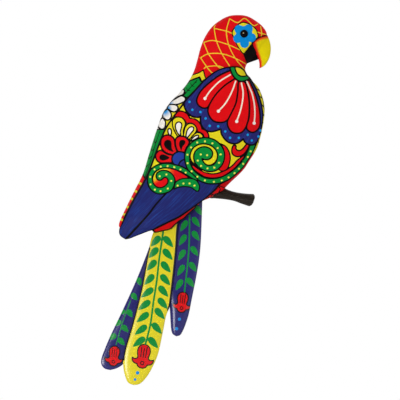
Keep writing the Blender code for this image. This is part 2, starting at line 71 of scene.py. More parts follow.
printInks = {  # enamel colours as seen, sRGB 0 to 255
    "red": (220, 6, 15), "yellow": (226, 210, 30), "lemon": (226, 208, 2), "green": (0, 138, 54),
    "navy": (38, 36, 108), "flight": (32, 38, 104), "flightLight": (30, 74, 162), "cyan": (2, 137, 214),
    "sky": (16, 148, 222), "discBlue": (30, 56, 148), "white": (240, 234, 226), "gold": (232, 198, 44),
    "cream": (240, 226, 208), "black": (6, 4, 5), "orange": (236, 96, 26), "glint": (196, 186, 150),
    "back": (30, 27, 26), "dotYellow": (240, 238, 92),
}


def linear(colour):  # sRGB to the linear values that shaders take
    c = np.asarray(printInks[colour] if isinstance(colour, str) else colour, float) / 255
    return np.where(c <= 0.04045, c / 12.92, ((c + 0.055) / 1.055) ** 2.4)


def mixed(first, second, share):  # a colour for each share: the first at 0, the second at 1
    return first + (second - first) * np.clip(share, 0, 1)[:, None]


# Curves and surfaces


def easeIn(share):  # 0 to 1 with level ends: 3t^2 - 2t^3
    share = np.clip(share, 0.0, 1.0)
    return share * share * (3 - 2 * share)


# Catmull-Rom: the slope at a point is half its neighbours' chord
def throughPoints(points, closed=False, steps=6):
    p = np.array(points, float)
    ends = (p[-1:], p[:2]) if closed else (2 * p[:1] - p[1:2], 2 * p[-1:] - p[-2:-1])
    p = np.vstack([ends[0], p, ends[1]])
    a, b, c, d = p[:-3], p[1:-2], p[2:-1], p[3:]
    keep = np.linalg.norm(c - b, axis=1) > 1e-9  # a point given twice makes a corner
    a, b, c, d = (q[keep][:, None] for q in (a, b, c, d))
    t = (np.arange(steps) / steps)[None, :, None]
    run = b + 0.5 * ((c - a) * t + (2 * a - 5 * b + 4 * c - d) * t**2 + (3 * b - a - 3 * c + d) * t**3)
    run = run.reshape(-1, 2)
    return run if closed else np.vstack([run, p[-2:-1]])


def alongCurve(points, shares):  # spots at these shares of the curve's length
    run = throughPoints(points, steps=16)
    length = np.concatenate([[0], np.cumsum(np.linalg.norm(np.diff(run, axis=0), axis=1))])
    at = np.asarray(shares) * length[-1]
    return np.column_stack([np.interp(at, length, run[:, k]) for k in (0, 1)])


def dome(u, power=2.4):  # height across a stamped sheet: root of 1 - |u|^power
    return np.sqrt(np.clip(1 - np.abs(u) ** power, 0, 1))


def acrossSheet(columns):  # steps from -1 to 1, closer where the sheet turns down
    v = np.linspace(-1, 1, columns)
    u = v * (1.25 - 0.25 * v * v)
    edge = 1 - (1 - u[-2]) * np.array([0.5, 0.22, 0.08, 0.02])
    return np.concatenate([[-1], -edge[::-1], u[1:-1], edge, [1]])


def alongSheet(rows, first=0.0012, last=0.9988):  # shares from end to end, closer near both tips
    steps = np.linspace(0, 1, rows)
    return first + (last - first) * (0.72 * steps + 0.28 * (1 - np.cos(steps * math.pi)) / 2)


class Loft:  # straight lines between two edges at equal shares of their lengths
    def __init__(self, edges, rise=1.0, taper=0.0):
        self.share = np.linspace(0, 1, 481)
        self.left, self.right = (alongCurve(edge, self.share) for edge in edges)
        self.wide = np.linalg.norm(self.right - self.left, axis=1)
        self.rise = rise * (self.wide / self.wide.max()) ** taper

    def at(self, share, values):
        return np.interp(share, self.share, values)

    def edge(self, share, values):
        return np.stack([self.at(share, values[:, 0]), self.at(share, values[:, 1])], axis=-1)

    def spot(self, share, u):  # left + (right - left) * (u + 1) / 2
        left, right = self.edge(share, self.left), self.edge(share, self.right)
        return left + (right - left) * ((u + 1) / 2)[..., None]

    def outline(self):  # both edges as one closed ring
        return np.vstack([self.left, self.right[::-1]])

    def find(self, x, z):  # share and u of points, u held to -1..1
        starts = range(0, len(x), partSize)
        found = [self.findSome(x[k:k + partSize], z[k:k + partSize]) for k in starts]
        return (np.concatenate(part) for part in zip(*found))

    def findSome(self, x, z):  # where the turn from a cross line to the point changes sign
        span, base = (self.right - self.left)[1:-1], self.left[1:-1]
        dx, dz = x[:, None] - base[None, :, 0], z[:, None] - base[None, :, 1]
        turn = span[None, :, 0] * dz - span[None, :, 1] * dx
        u = 2 * (span[None, :, 0] * dx + span[None, :, 1] * dz) / (span**2).sum(1)[None] - 1
        step = turn[:, :-1] - turn[:, 1:]
        part = np.clip(turn[:, :-1] / np.where(np.abs(step) < 1e-12, 1e-12, step), 0, 1)
        mid = np.where(turn[:, :-1] * turn[:, 1:] <= 0, u[:, :-1] + (u[:, 1:] - u[:, :-1]) * part, 9.0)
        row, best = np.arange(len(x)), np.argmin(np.abs(mid), axis=1)
        found = mid[row, best]
        where = self.share[1:-1][best] + part[row, best] * (self.share[1] - self.share[0])
        first = np.hypot(x - base[0, 0], z - base[0, 1]) < np.hypot(x - base[-1, 0], z - base[-1, 1])
        where = np.where(found > 8, np.where(first, 0.0, 1.0), where)
        return where, np.clip(found, -1, 1)


def soften(grid, passes):  # each inner value becomes a quarter, half, quarter of its row, then column
    g = grid.copy()
    for _ in range(passes):
        g[1:-1] = (g[:-2] + 2 * g[1:-1] + g[2:]) / 4
        g[:, 1:-1] = (g[:, :-2] + 2 * g[:, 1:-1] + g[:, 2:]) / 4
    return g


def faceNormals(grid):  # cross product of the grid's two directions
    along, across = np.gradient(grid, axis=0), np.gradient(grid, axis=1)
    n = np.cross(across, along)
    n /= np.maximum(np.linalg.norm(n, axis=-1, keepdims=True), 1e-12)
    middle = n[grid.shape[0] // 2, grid.shape[1] // 2]
    return n if middle[2] > 0 else -n


def toFrame(points):  # drawing (x, z, out) in mm to frame (X, Y, Z) in metres
    p = np.asarray(points, float)
    return np.stack([p[..., 0] - nailX, -p[..., 2], p[..., 1]], axis=-1) * mm


def toPhoto(points):  # drawing (x, z) in mm to photo pixels
    p = np.asarray(points, float)
    zero, scale = photo["zero"], photo["mmPerPixel"]
    return np.stack([zero[0] + p[..., 0] / scale, zero[1] - p[..., 1] / scale], axis=-1)


# Printing: every point of a sheet keeps its ground colour and its distance to ink and to light motifs


def inParts(work, at, shape):  # long lists of points go a part at a time
    parts = [work(at[k:k + partSize], shape) for k in range(0, len(at), partSize)]
    return [np.concatenate(column) for column in zip(*parts)]


def nearestOn(at, line):  # distance to a polyline, and the share of its length there
    a, ab = line[:-1], np.diff(line, axis=0)
    rel = at[:, None] - a[None]
    size = np.maximum((ab**2).sum(1), 1e-12)
    t = np.clip((rel * ab[None]).sum(-1) / size[None], 0, 1)
    gap = np.linalg.norm(rel - t[..., None] * ab[None], axis=-1)
    row, best = np.arange(len(at)), gap.argmin(1)
    length = np.sqrt(size)
    start = np.concatenate([[0], np.cumsum(length)])
    return gap[row, best], (start[best] + t[row, best] * length[best]) / start[-1]


def insideOf(at, ring):  # odd count of edges crossed to the right
    a, b = ring, np.roll(ring, -1, axis=0)
    x, y = at[:, 0, None], at[:, 1, None]
    spans = (a[None, :, 1] > y) != (b[None, :, 1] > y)
    rise = np.where(np.abs(b[:, 1] - a[:, 1]) < 1e-12, 1e-12, b[:, 1] - a[:, 1])
    cross = (b[:, 0] - a[:, 0])[None] * (y - a[None, :, 1]) / rise[None] + a[None, :, 0]
    return (spans & (x < cross)).sum(1) % 2 == 1


def signedGap(at, ring):  # distance to a ring, below zero inside it
    gap, _ = nearestOn(at, np.vstack([ring, ring[:1]]))
    return (np.where(insideOf(at, ring), -gap, gap),)


def dropRing(round_, tip, wide):  # teardrop from its round end to its point: y = sin t * sin(t / 2)
    round_, tip = np.array(round_, float), np.array(tip, float)
    axis = tip - round_
    long = np.linalg.norm(axis)
    axis /= long
    t = np.linspace(0, 2 * math.pi, 28, endpoint=False)
    y = np.sin(t) * np.abs(np.sin(t / 2)) / 0.77  # 0.77 is its greatest value
    side = np.array([-axis[1], axis[0]])
    return (round_ + tip) / 2 + np.outer(np.cos(t) * long / 2, axis) + np.outer(y * wide / 2, side)


def ovalRing(centre, a, b, turn):  # ellipse of half axes a and b, turned in degrees
    t = np.linspace(0, 2 * math.pi, 32, endpoint=False)
    c, s = math.cos(math.radians(turn)), math.sin(math.radians(turn))
    x, y = a * np.cos(t), b * np.sin(t)
    return np.array(centre) + np.column_stack([x * c - y * s, x * s + y * c])


class Printer:  # paint, and the distances in pixels to ink and to light motifs; below zero is inside
    far = 9.0  # stands for no ink near
    soft = 0.5  # how wide a colour's edge is

    def __init__(self, spots, ground):
        self.px = toPhoto(spots)
        count = len(spots)
        self.paint = np.tile(linear(ground), (count, 1))
        self.ink, self.motif = np.full(count, self.far), np.full(count, self.far)
        self.tint = np.tile(linear("white"), (count, 1))

    def near(self, line, reach):  # the points whose box round the shape is worth a look
        return np.flatnonzero(((self.px > line.min(0) - reach) & (self.px < line.max(0) + reach)).all(1))

    def lay(self, k, signed, colour, line):  # paint over what lies inside, then draw its outline
        cover = np.clip(0.5 - signed / self.soft, 0, 1)[:, None]
        fill = colour(self.px[k]) if callable(colour) else linear(colour)
        self.paint[k] += (fill - self.paint[k]) * cover
        self.ink[k] = np.maximum(self.ink[k], -signed)
        self.motif[k] = np.maximum(self.motif[k], -signed)
        if line:
            self.ink[k] = np.minimum(self.ink[k], np.abs(signed) - line / 2)

    def signedTo(self, ring, reach):  # the points near a ring, and their distances to it
        k = self.near(ring, reach)
        if not len(k):
            return k, np.zeros(0)
        return k, inParts(signedGap, self.px[k], ring)[0]

    def area(self, points, colour, line=1.7, smooth=True):  # a closed shape, filled and outlined
        ring = throughPoints(points, closed=True) if smooth else np.array(points, float)
        k, signed = self.signedTo(ring, 4)
        if len(k):
            self.lay(k, signed, colour, line)

    def bandTo(self, points, widths, reach):  # distance to a curve less half its width there
        run = throughPoints(points)
        k = self.near(run, reach)
        if not len(k):
            return k, np.zeros(0)
        gap, share = inParts(nearestOn, self.px[k], run)
        wide = np.interp(share, np.linspace(0, 1, len(widths)), widths)
        return k, gap - wide / 2

    def band(self, points, widths, colour, line=1.7):  # a strip of changing width
        k, signed = self.bandTo(points, widths, max(widths) + 3)
        if len(k):
            self.lay(k, signed, colour, line)

    def inkLine(self, points, width, end=None):
        k, signed = self.bandTo(points, [width, end if end is not None else width], width + 3)
        self.ink[k] = np.minimum(self.ink[k], signed)

    def inkArea(self, ring):
        k, signed = self.signedTo(np.array(ring, float), 3)
        self.ink[k] = np.minimum(self.ink[k], signed)

    def shine(self, k, signed, colour):  # a light motif lies over ground and ink
        over = signed < self.motif[k]
        self.motif[k] = np.where(over, signed, self.motif[k])
        self.tint[k] = np.where(over[:, None], linear(colour), self.tint[k])

    def light(self, points, width, colour):
        self.shine(*self.bandTo(points, [width, width], width + 3), colour)

    def lightArea(self, ring, colour):
        self.shine(*self.signedTo(np.array(ring, float), 3), colour)

    def dots(self, centres, radius, colour):
        for c in np.array(centres, float):
            k = self.near(c[None], radius + 3)
            self.shine(k, np.linalg.norm(self.px[k] - c, axis=1) - radius, colour)


# Meshes

creaseAngle = math.radians(48)  # sharper folds than this show as an edge
turnedCrease = math.radians(40)  # the same on turned pieces


def makePiece(name, points, faces, materials, body="parrot"):  # a smooth mesh that rides on its body
    mesh = bpy.data.meshes.new(name)
    mesh.from_pydata(points, [], faces)
    for material in materials:
        mesh.materials.append(material)
    mesh.polygons.foreach_set("use_smooth", np.ones(len(mesh.polygons), bool))
    mesh.update()
    piece = bpy.data.objects.new(name, mesh)
    bpy.context.scene.collection.objects.link(piece)
    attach(piece, body)
    return piece


def gridFaces(rows, columns, start=0, turned=False):  # quads of a grid of point numbers
    n = start + np.arange(rows * columns).reshape(rows, columns)
    quads = np.stack([n[:-1, :-1], n[:-1, 1:], n[1:, 1:], n[1:, :-1]], axis=-1).reshape(-1, 4)
    return quads[:, ::-1] if turned else quads


def closedSheet(name, front, thick, materials, keepColumns, fill=8):
    # A sheet of even thickness: the front grid, a lining of fewer columns behind it, and rim strips
    rows, columns = front.shape[:2]
    normal = faceNormals(front)
    edge = list(range(keepColumns)) + list(range(columns - keepColumns, columns))
    pick = np.array(sorted(set(edge) | set(range(keepColumns, columns - keepColumns, fill))))
    back = (front - normal * thick)[:, pick]
    points = np.vstack([toFrame(front).reshape(-1, 3), toFrame(back).reshape(-1, 3)])
    first = rows * columns
    f = np.arange(first).reshape(rows, columns)
    b = first + np.arange(rows * len(pick)).reshape(rows, len(pick))
    row, column = rows // 2, columns // 2
    a, c, d = toFrame(front[row:row + 2, column:column + 2]).reshape(4, 3)[:3]
    outward = toFrame(normal[row, column] + np.array([nailX, 0, 0]))
    turned = np.dot(np.cross(c - a, d - a), outward) < 0
    quads = [gridFaces(rows, columns, 0, turned), gridFaces(rows, len(pick), first, not turned)]
    for side, other in ((f[:, 0], b[:, 0]), (f[::-1, -1], b[::-1, -1])):
        strip = np.stack([side[:-1], side[1:], other[1:], other[:-1]], axis=-1)
        quads.append(strip[:, ::-1] if turned else strip)
    tips = []
    for side, other in ((f[0, ::-1], b[0, ::-1]), (f[-1], b[-1])):
        tip = np.concatenate([side, other[::-1]])
        tips.append(tip[::-1].tolist() if turned else tip.tolist())
    faces = np.vstack(quads).tolist() + tips
    piece = makePiece(name, points, faces, materials)
    slots = np.zeros(len(faces), np.int32)
    slots[len(quads[0]):len(quads[0]) + len(quads[1])] = 1
    piece.data.polygons.foreach_set("material_index", slots)
    piece.data.set_sharp_from_angle(angle=creaseAngle)
    layMap(piece, rows, columns, pick)
    return piece


mapWork = {"front": (0.004, 0.860), "back": (0.908, 0.994), "rims": (0.868, 0.880), "rimWide": 0.007,
           "tips": 0.892, "tipWide": 0.008, "tipLong": 0.48, "low": 0.004, "high": 0.996}


def layMap(piece, rows, columns, pick):
    # The bake's map: the front's grid large, then rims and tips as narrow strips, then the lining's grid
    w, first, few = mapWork, rows * columns, len(pick)
    corner = np.zeros(len(piece.data.loops), np.int32)
    piece.data.loops.foreach_get("vertex_index", corner)
    behind = corner >= first
    place = np.where(behind, corner - first, corner)
    row = np.where(behind, place // few, place // columns)
    column = np.where(behind, pick[place % few], place % columns) / (columns - 1)
    v = w["low"] + (w["high"] - w["low"]) * row / (rows - 1)
    sides = [low + (high - low) * column for low, high in (w["front"], w["back"])]
    u = np.where(behind, sides[1], sides[0])
    start = 4 * (rows - 1) * (columns - 1 + few - 1)  # corners of the front and the lining come first
    for rim in w["rims"]:
        strip = slice(start, start + 4 * (rows - 1))
        u[strip] = rim + w["rimWide"] * behind[strip]
        start += 4 * (rows - 1)
    for half in (0.0, 0.5):
        strip = slice(start, start + columns + few)
        u[strip] = w["tips"] + w["tipWide"] * behind[strip]
        v[strip] = half + w["low"] + w["tipLong"] * column[strip]
        start += columns + few
    layer = piece.data.uv_layers.new(name="OFBake")
    layer.data.foreach_set("uv", np.column_stack([u, v]).astype(np.float32).ravel())


def storePrint(piece, printed, extra=None):  # the print as point attributes that the enamel reads, in mm
    count, have = len(piece.data.vertices), len(printed.ink)
    scale = photo["mmPerPixel"]
    values = {"ink": printed.ink * scale, "motif": printed.motif * scale}
    for name, value in values.items():
        full = np.full(count, Printer.far, np.float32)
        full[:have] = value
        piece.data.attributes.new(name, "FLOAT", "POINT").data.foreach_set("value", full)
    for name, value in (("paint", printed.paint), ("tint", printed.tint)):
        full = np.ones((count, 4), np.float32)
        full[:, :3] = linear("back")
        full[:have, :3] = value
        piece.data.attributes.new(name, "FLOAT_COLOR", "POINT").data.foreach_set("color", full.ravel())
    if extra is not None:
        full = np.zeros((count, 3), np.float32)
        full[:have] = extra
        piece.data.attributes.new("fibre", "FLOAT_VECTOR", "POINT").data.foreach_set("vector", full.ravel())


def turnedPiece(name, profile, spot, axis, material, steps=48):
    # A profile of (radius, height) carried round an axis through a spot, its end rings closed
    p = np.array(profile, float)
    a = np.linspace(0, 2 * math.pi, steps, endpoint=False)
    axis = np.array(axis, float) / np.linalg.norm(axis)
    side = np.cross(axis, [0.0, 1.0, 0.0] if abs(axis[1]) < 0.9 else [1.0, 0.0, 0.0])
    side /= np.linalg.norm(side)
    other = np.cross(axis, side)
    ring = np.cos(a)[:, None] * side + np.sin(a)[:, None] * other
    points = np.array(spot) + p[:, 0, None, None] * ring[None] + p[:, 1, None, None] * axis
    n = np.arange(len(p) * steps).reshape(len(p), steps)
    m = np.roll(n, -1, axis=1)
    quads = np.stack([n[:-1], m[:-1], m[1:], n[1:]], axis=-1).reshape(-1, 4).tolist()
    faces = quads + [n[0, ::-1].tolist(), n[-1].tolist()]
    piece = makePiece(name, toFrame(points.reshape(-1, 3)), faces, [material])
    turnOutwards(piece)
    piece.data.set_sharp_from_angle(angle=turnedCrease)
    return piece


def turnOutwards(piece):  # a closed mesh turned in has a negative signed volume
    mesh = piece.data
    mesh.calc_loop_triangles()
    p = np.zeros(len(mesh.vertices) * 3)
    mesh.vertices.foreach_get("co", p)
    t = np.zeros(len(mesh.loop_triangles) * 3, np.int32)
    mesh.loop_triangles.foreach_get("vertices", t)
    a, b, c = (p.reshape(-1, 3)[t.reshape(-1, 3)[:, k]] for k in range(3))
    if (a * np.cross(b, c)).sum() < 0:
        mesh.flip_normals()


# Shader maths


class Value:  # a socket that can be added, scaled and compared in Python
    def __init__(self, finish, socket):
        self.finish, self.socket = finish, socket

    def math(self, operation, *parts):
        return self.finish.node("ShaderNodeMath", {"operation": operation}, dict(enumerate(parts)))

    def __add__(self, other):
        return self.math("ADD", self, other)

    def __sub__(self, other):
        return self.math("SUBTRACT", self, other)

    def __rsub__(self, other):
        return self.math("SUBTRACT", other, self)

    def __mul__(self, other):
        return self.math("MULTIPLY", self, other)

    def __truediv__(self, other):
        return self.math("DIVIDE", self, other)

    __radd__, __rmul__ = __add__, __mul__

    def held(self):  # kept between 0 and 1
        return self.finish.node("ShaderNodeClamp", {}, {0: self, 1: 0.0, 2: 1.0})


class Finish:  # one material and its nodes
    def __init__(self, name, **constants):
        self.material = bpy.data.materials.new(name)
        self.material.use_nodes = True
        self.tree = self.material.node_tree
        self.shader = self.tree.nodes["Principled BSDF"]
        for socket, value in constants.items():
            self.shader.inputs[socket.replace("_", " ")].default_value = value

    def node(self, kind, settings, sockets, out=0):
        made = self.tree.nodes.new(kind)
        for key, value in settings.items():
            setattr(made, key, value)
        for key, value in sockets.items():
            if isinstance(value, Value):
                self.tree.links.new(value.socket, made.inputs[key])
            else:
                made.inputs[key].default_value = value
        return Value(self, made.outputs[out])

    def feed(self, socket, value):
        self.tree.links.new(value.socket, self.shader.inputs[socket])

    def attribute(self, name, out=2):  # out 0 is colour, 1 vector, 2 a plain number
        return self.node("ShaderNodeAttribute", {"attribute_name": name}, {}, out)

    def place(self, scale=(1, 1, 1)):  # Object coordinates, stretched
        spot = self.node("ShaderNodeTexCoord", {}, {}, 3)
        return self.stretch(spot, scale)

    def stretch(self, vector, scale):
        return self.node("ShaderNodeMapping", {}, {0: vector, 3: scale})

    def noise(self, vector, scale, detail=3.0, rough=0.55):
        sockets = {"Vector": vector, "Scale": scale, "Detail": detail, "Roughness": rough}
        return self.node("ShaderNodeTexNoise", {}, sockets)

    def blend(self, share, a, b, kind="MIX"):  # Mix of two colours
        settings = {"data_type": "RGBA", "blend_type": kind}
        parts, plain = {0: share, 6: a, 7: b}, (tuple, np.ndarray)
        sockets = {key: (*part, 1.0) if isinstance(part, plain) else part for key, part in parts.items()}
        return self.node("ShaderNodeMix", settings, sockets, 2)

    def bump(self, height, strength, distance):
        sockets = {"Height": height, "Strength": strength, "Distance": distance}
        self.feed("Normal", self.node("ShaderNodeBump", {}, sockets))


def maskOf(signed, edge):  # 1 inside a printed shape, 0 outside, over a thin edge
    return (0.5 - signed / edge).held()


enamelLook = {
    "edge": 0.16, "tone": 0.10, "cloud": 38.0, "fine": 260.0, "peel": 420.0, "roughSpread": 0.16,
    "inkRough": 0.05, "heights": {"peel": 0.35, "ink": 0.5, "motif": 0.7}, "bump": (0.22, 0.00025),
    "gloss": {"rough": 0.24, "specular": 0.46}, "matt": {"rough": 0.50, "specular": 0.07},
    "stroke": {"stretch": (0.42, 0.030, 1.0), "from": 0.50, "gain": 4.2, "most": 0.78},
}


def printedEnamel(name, sheen="gloss", streaks=False):  # ground, ink over it, light motifs over both
    w, look, high = enamelLook, enamelLook[sheen], enamelLook["heights"]
    f = Finish(name, Specular_IOR_Level=look["specular"])
    ink = maskOf(f.attribute("ink"), w["edge"])
    motif = maskOf(f.attribute("motif"), w["edge"])
    ground = f.attribute("paint", 0)
    cloud = f.noise(f.place(), w["cloud"], 4.0)  # brushed enamel is a little uneven
    fine = f.noise(f.place(), w["fine"], 2.0)
    if streaks:  # lighter strokes that run along the flight feathers
        stroke, fibre = w["stroke"], f.attribute("fibre", 1)
        streak = f.noise(f.stretch(fibre, stroke["stretch"]), 1.0, 4.0, 0.62)
        region = f.node("ShaderNodeSeparateXYZ", {}, {0: fibre}, 2)
        share = ((streak - stroke["from"]) * stroke["gain"]).held() * region * stroke["most"]
        ground = f.blend(share, ground, linear("flightLight"))
    colour = f.blend(ink, ground, linear("black"))
    colour = f.blend(motif, colour, f.attribute("tint", 0))
    shade = (cloud - 0.5) * w["tone"] * 2 + (fine - 0.5) * w["tone"] + 1.0
    toned = f.node("ShaderNodeCombineColor", {}, {0: shade, 1: shade, 2: shade})
    f.feed("Base Color", f.blend(1.0, colour, toned, "MULTIPLY"))
    f.feed("Roughness", look["rough"] + (cloud - 0.5) * w["roughSpread"] + ink * w["inkRough"])
    peel = f.noise(f.place(), w["peel"], 2.0)
    f.bump(peel * high["peel"] + ink * high["ink"] + motif * high["motif"], *w["bump"])
    return f.material


primerLook = {
    "dark": (24, 22, 22), "light": (44, 40, 38), "bare": (92, 54, 34), "specular": 0.3,
    "brush": (26.0, 26.0, 320.0), "cloud": 22.0, "spots": 70.0, "spotsFrom": 0.62, "spotsGain": 9.0,
    "spotsMost": 0.55, "rough": 0.48, "roughSpread": 0.25, "spotsRough": 0.2, "bump": (0.3, 0.0003),
}


def backPaint(name, w):  # thin black paint over iron, brushed, with a few brown bare spots
    f = Finish(name, Specular_IOR_Level=w["specular"])
    brush = f.noise(f.place(w["brush"]), 1.0, 3.0)
    cloud = f.noise(f.place(), w["cloud"], 5.0)
    bare = ((f.noise(f.place(), w["spots"], 6.0, 0.66) - w["spotsFrom"]) * w["spotsGain"]).held()
    base = f.blend(brush, linear(w["dark"]), linear(w["light"]))
    f.feed("Base Color", f.blend(bare * w["spotsMost"], base, linear(w["bare"])))
    f.feed("Roughness", w["rough"] + (cloud - 0.5) * w["roughSpread"] + bare * w["spotsRough"])
    f.bump(brush * 0.5 + cloud * 0.6, *w["bump"])
    return f.material


barLook = {
    "dark": (36, 34, 34), "light": (60, 56, 54), "worn": (112, 106, 100), "specular": 0.4,
    "scale": (60.0, 200.0, 260.0), "wear": 120.0, "wearFrom": 0.56, "wearGain": 7.0, "wearMost": 0.6,
    "metal": (0.35, 0.5), "rough": (0.58, 0.14), "roughSpread": 0.2, "bump": (0.3, 0.0003),
}


def ironBar(name, w):  # black iron bar: mill scale with worn grey patches
    f = Finish(name, Specular_IOR_Level=w["specular"])
    scale = f.noise(f.place(w["scale"]), 1.0, 5.0)
    worn = ((f.noise(f.place(), w["wear"], 5.0) - w["wearFrom"]) * w["wearGain"]).held()
    base = f.blend(scale, linear(w["dark"]), linear(w["light"]))
    f.feed("Base Color", f.blend(worn * w["wearMost"], base, linear(w["worn"])))
    f.feed("Metallic", w["metal"][0] + worn * w["metal"][1])
    f.feed("Roughness", w["rough"][0] - worn * w["rough"][1] + (scale - 0.5) * w["roughSpread"])
    f.bump(scale, *w["bump"])
    return f.material


zincLook = {
    "dark": (150, 150, 148), "light": (190, 191, 190), "dull": (120, 116, 108), "spangle": 420.0,
    "grain": (60.0, 900.0, 900.0), "cloud": 140.0, "dullFrom": 0.4, "dullMost": 0.5, "metal": (0.82, 0.14),
    "rough": (0.30, 0.16), "bump": (0.12, 0.0001),
}


def zincSteel(name, w):  # zinc plate: a pale spangle with fine drawing lines
    f = Finish(name)
    spangle = f.node("ShaderNodeTexVoronoi", {}, {"Vector": f.place(), "Scale": w["spangle"]}, 1)
    grain = f.noise(f.place(w["grain"]), 1.0, 2.0)
    cloud = f.noise(f.place(), w["cloud"], 4.0)
    grey = f.node("ShaderNodeRGBToBW", {}, {0: spangle})
    base = f.blend(grey, linear(w["dark"]), linear(w["light"]))
    f.feed("Base Color", f.blend((cloud - w["dullFrom"]) * w["dullMost"], base, linear(w["dull"])))
    f.feed("Metallic", w["metal"][0] + grey * w["metal"][1])
    f.feed("Roughness", w["rough"][0] + cloud * w["rough"][1])
    f.bump(grain, *w["bump"])
    return f.material


barkLook = {
    "dark": (17, 11, 6), "light": (49, 37, 23), "dust": (26, 21, 17), "specular": 0.20,
    "streak": (0.9, 0.10, 1.0), "streakFrom": 0.38, "streakGain": 3.4, "fine": 300.0, "dustMost": 0.25,
    "rough": 0.44, "roughSpread": 0.2, "bump": (0.5, 0.0006),
}


def paintedBark(name, w):  # dark brown paint with streaks of grain along the branch
    f = Finish(name, Specular_IOR_Level=w["specular"])
    streak = f.noise(f.stretch(f.attribute("fibre", 1), w["streak"]), 1.0, 5.0, 0.6)
    fine = f.noise(f.place(), w["fine"], 3.0)
    share = ((streak - w["streakFrom"]) * w["streakGain"]).held()
    base = f.blend(share, linear(w["dark"]), linear(w["light"]))
    f.feed("Base Color", f.blend(fine * w["dustMost"], base, linear(w["dust"])))
    f.feed("Roughness", w["rough"] + (fine - 0.5) * w["roughSpread"])
    f.bump(streak + fine * 0.2, *w["bump"])
    return f.material


liningFinish = backPaint("shell_back_paint", primerLook)
print("finishes ready")


# Body shell: domed between its back and front edges, lifted at the rump, with a turned-in hem behind

bodyWork = {
    "back": [
        (62, 111), (52.2, 110), (41.5, 105.5), (28.2, 95.6), (18.2, 81.7), (11.6, 65.8), (7.1, 48.8),
        (2, 32.7), (-6.6, 17.2), (-17.8, 3.8), (-30, -9), (-39.6, -23), (-46.5, -41), (-53, -60.5),
        (-59.6, -82), (-67, -106), (-79, -130), (-90.4, -153), (-100, -175.5), (-95.5, -184),
    ],
    "front": [
        (62, 111), (72, 110.3), (81, 107), (94, 98), (101.5, 88.5), (102.5, 80), (98.5, 69), (90, 58),
        (81, 49), (75, 43.5), (73, 36), (76, 27.5), (83.6, 19.4), (88.7, 14.4), (92.8, 8), (97.5, -4.5),
        (99.5, -19), (98, -36), (94, -55), (88.4, -72.8), (77.5, -90.5), (72.4, -98.6), (64.8, -107),
        (50, -121), (41.5, -130), (32, -135.5), (25, -139.5), (12.6, -145), (4.2, -154.2), (-5.5, -163),
        (-11, -168.5), (-16.5, -171.5), (-22.5, -176.5), (-29, -182.5), (-38, -185), (-47, -187),
        (-52, -187), (-54.5, -180), (-64, -180.5), (-80, -183), (-95.5, -184),
    ],
    "rise": 27.0, "taper": 0.6, "hem": 7.0, "hemShare": 0.3, "frontLift": (0.605, 0.675),
    "backLift": (0.86, 1.0), "crownLift": 0.45, "rumpOut": 12.1, "rows": 400, "columns": 160,
    "hemSteps": (0.04, 0.2, 0.6, 1.0), "rumpLine": {"from": (198, 206), "wide": 2.6, "every": 4},
    "toeLine": 1.0,
}
bodyLoft = Loft((bodyWork["back"], bodyWork["front"]), bodyWork["rise"], bodyWork["taper"])


def bodyRim(share):  # each rim lies on the wall, then eases up to its height at the rump
    spans = (bodyWork["backLift"], bodyWork["frontLift"])
    back, front = (easeIn((share - low) / (high - low)) for low, high in spans)
    return bodyWork["rumpOut"] * back, bodyWork["rumpOut"] * front


def bodyHeight(share, u):  # between its two rims, plus a dome up to the crown line
    back, front = bodyRim(share)
    from_ = bodyWork["crownLift"]
    crown = bodyLoft.at(share, bodyLoft.rise) + bodyWork["rumpOut"] * easeIn((share - from_) / (1 - from_))
    return back + (front - back) * (u + 1) / 2 + (crown - (back + front) / 2) * dome(u)


# The front face's height at points, run on level past limits
def bodyFront(x, z, shareMost=1.0, uMost=1.0):
    x, z = np.asarray(x, float), np.asarray(z, float)
    share, u = bodyLoft.find(x.ravel(), z.ravel())
    return bodyHeight(np.minimum(share, shareMost), np.clip(u, -uMost, uMost)).reshape(x.shape)


def bodyNormal(x, z, step=0.6):  # from the height's slopes over a small step; also gives the height
    x, z = np.array([x]), np.array([z])
    slopeX = (bodyFront(x + step, z) - bodyFront(x - step, z)) / (2 * step)
    slopeZ = (bodyFront(x, z + step) - bodyFront(x, z - step)) / (2 * step)
    n = np.array([-slopeX[0], -slopeZ[0], 1.0])
    return n / np.linalg.norm(n), float(bodyFront(x, z)[0])


def bodyGrid():  # hem, front face, hem, as one grid from edge to edge
    share = alongSheet(bodyWork["rows"])
    s, u = np.meshgrid(share, acrossSheet(bodyWork["columns"]), indexing="ij")
    front = np.dstack([bodyLoft.spot(s, u), bodyHeight(s, u)])
    rims = bodyRim(share)
    left, right = bodyLoft.edge(share, bodyLoft.left), bodyLoft.edge(share, bodyLoft.right)
    wide = bodyLoft.at(share, bodyLoft.wide)
    turn = np.minimum(bodyWork["hem"], bodyWork["hemShare"] * wide) / np.maximum(wide, 1e-6)
    steps, sides = bodyWork["hemSteps"], []
    for near, far, rim, order in ((left, right, rims[0], steps[::-1]), (right, left, rims[1], steps)):
        hem = [np.column_stack([near + (far - near) * (turn * k)[:, None], rim]) for k in order]
        sides.append(np.stack(hem, axis=1))
    return np.concatenate([sides[0], front, sides[1]], axis=1)


headWork = {"netWide": 0.95, "faceLine": 1.2, "lobe": 4.55, "heart": 8.3, "beakLine": 1.5,
            "collarLine": 1.2}


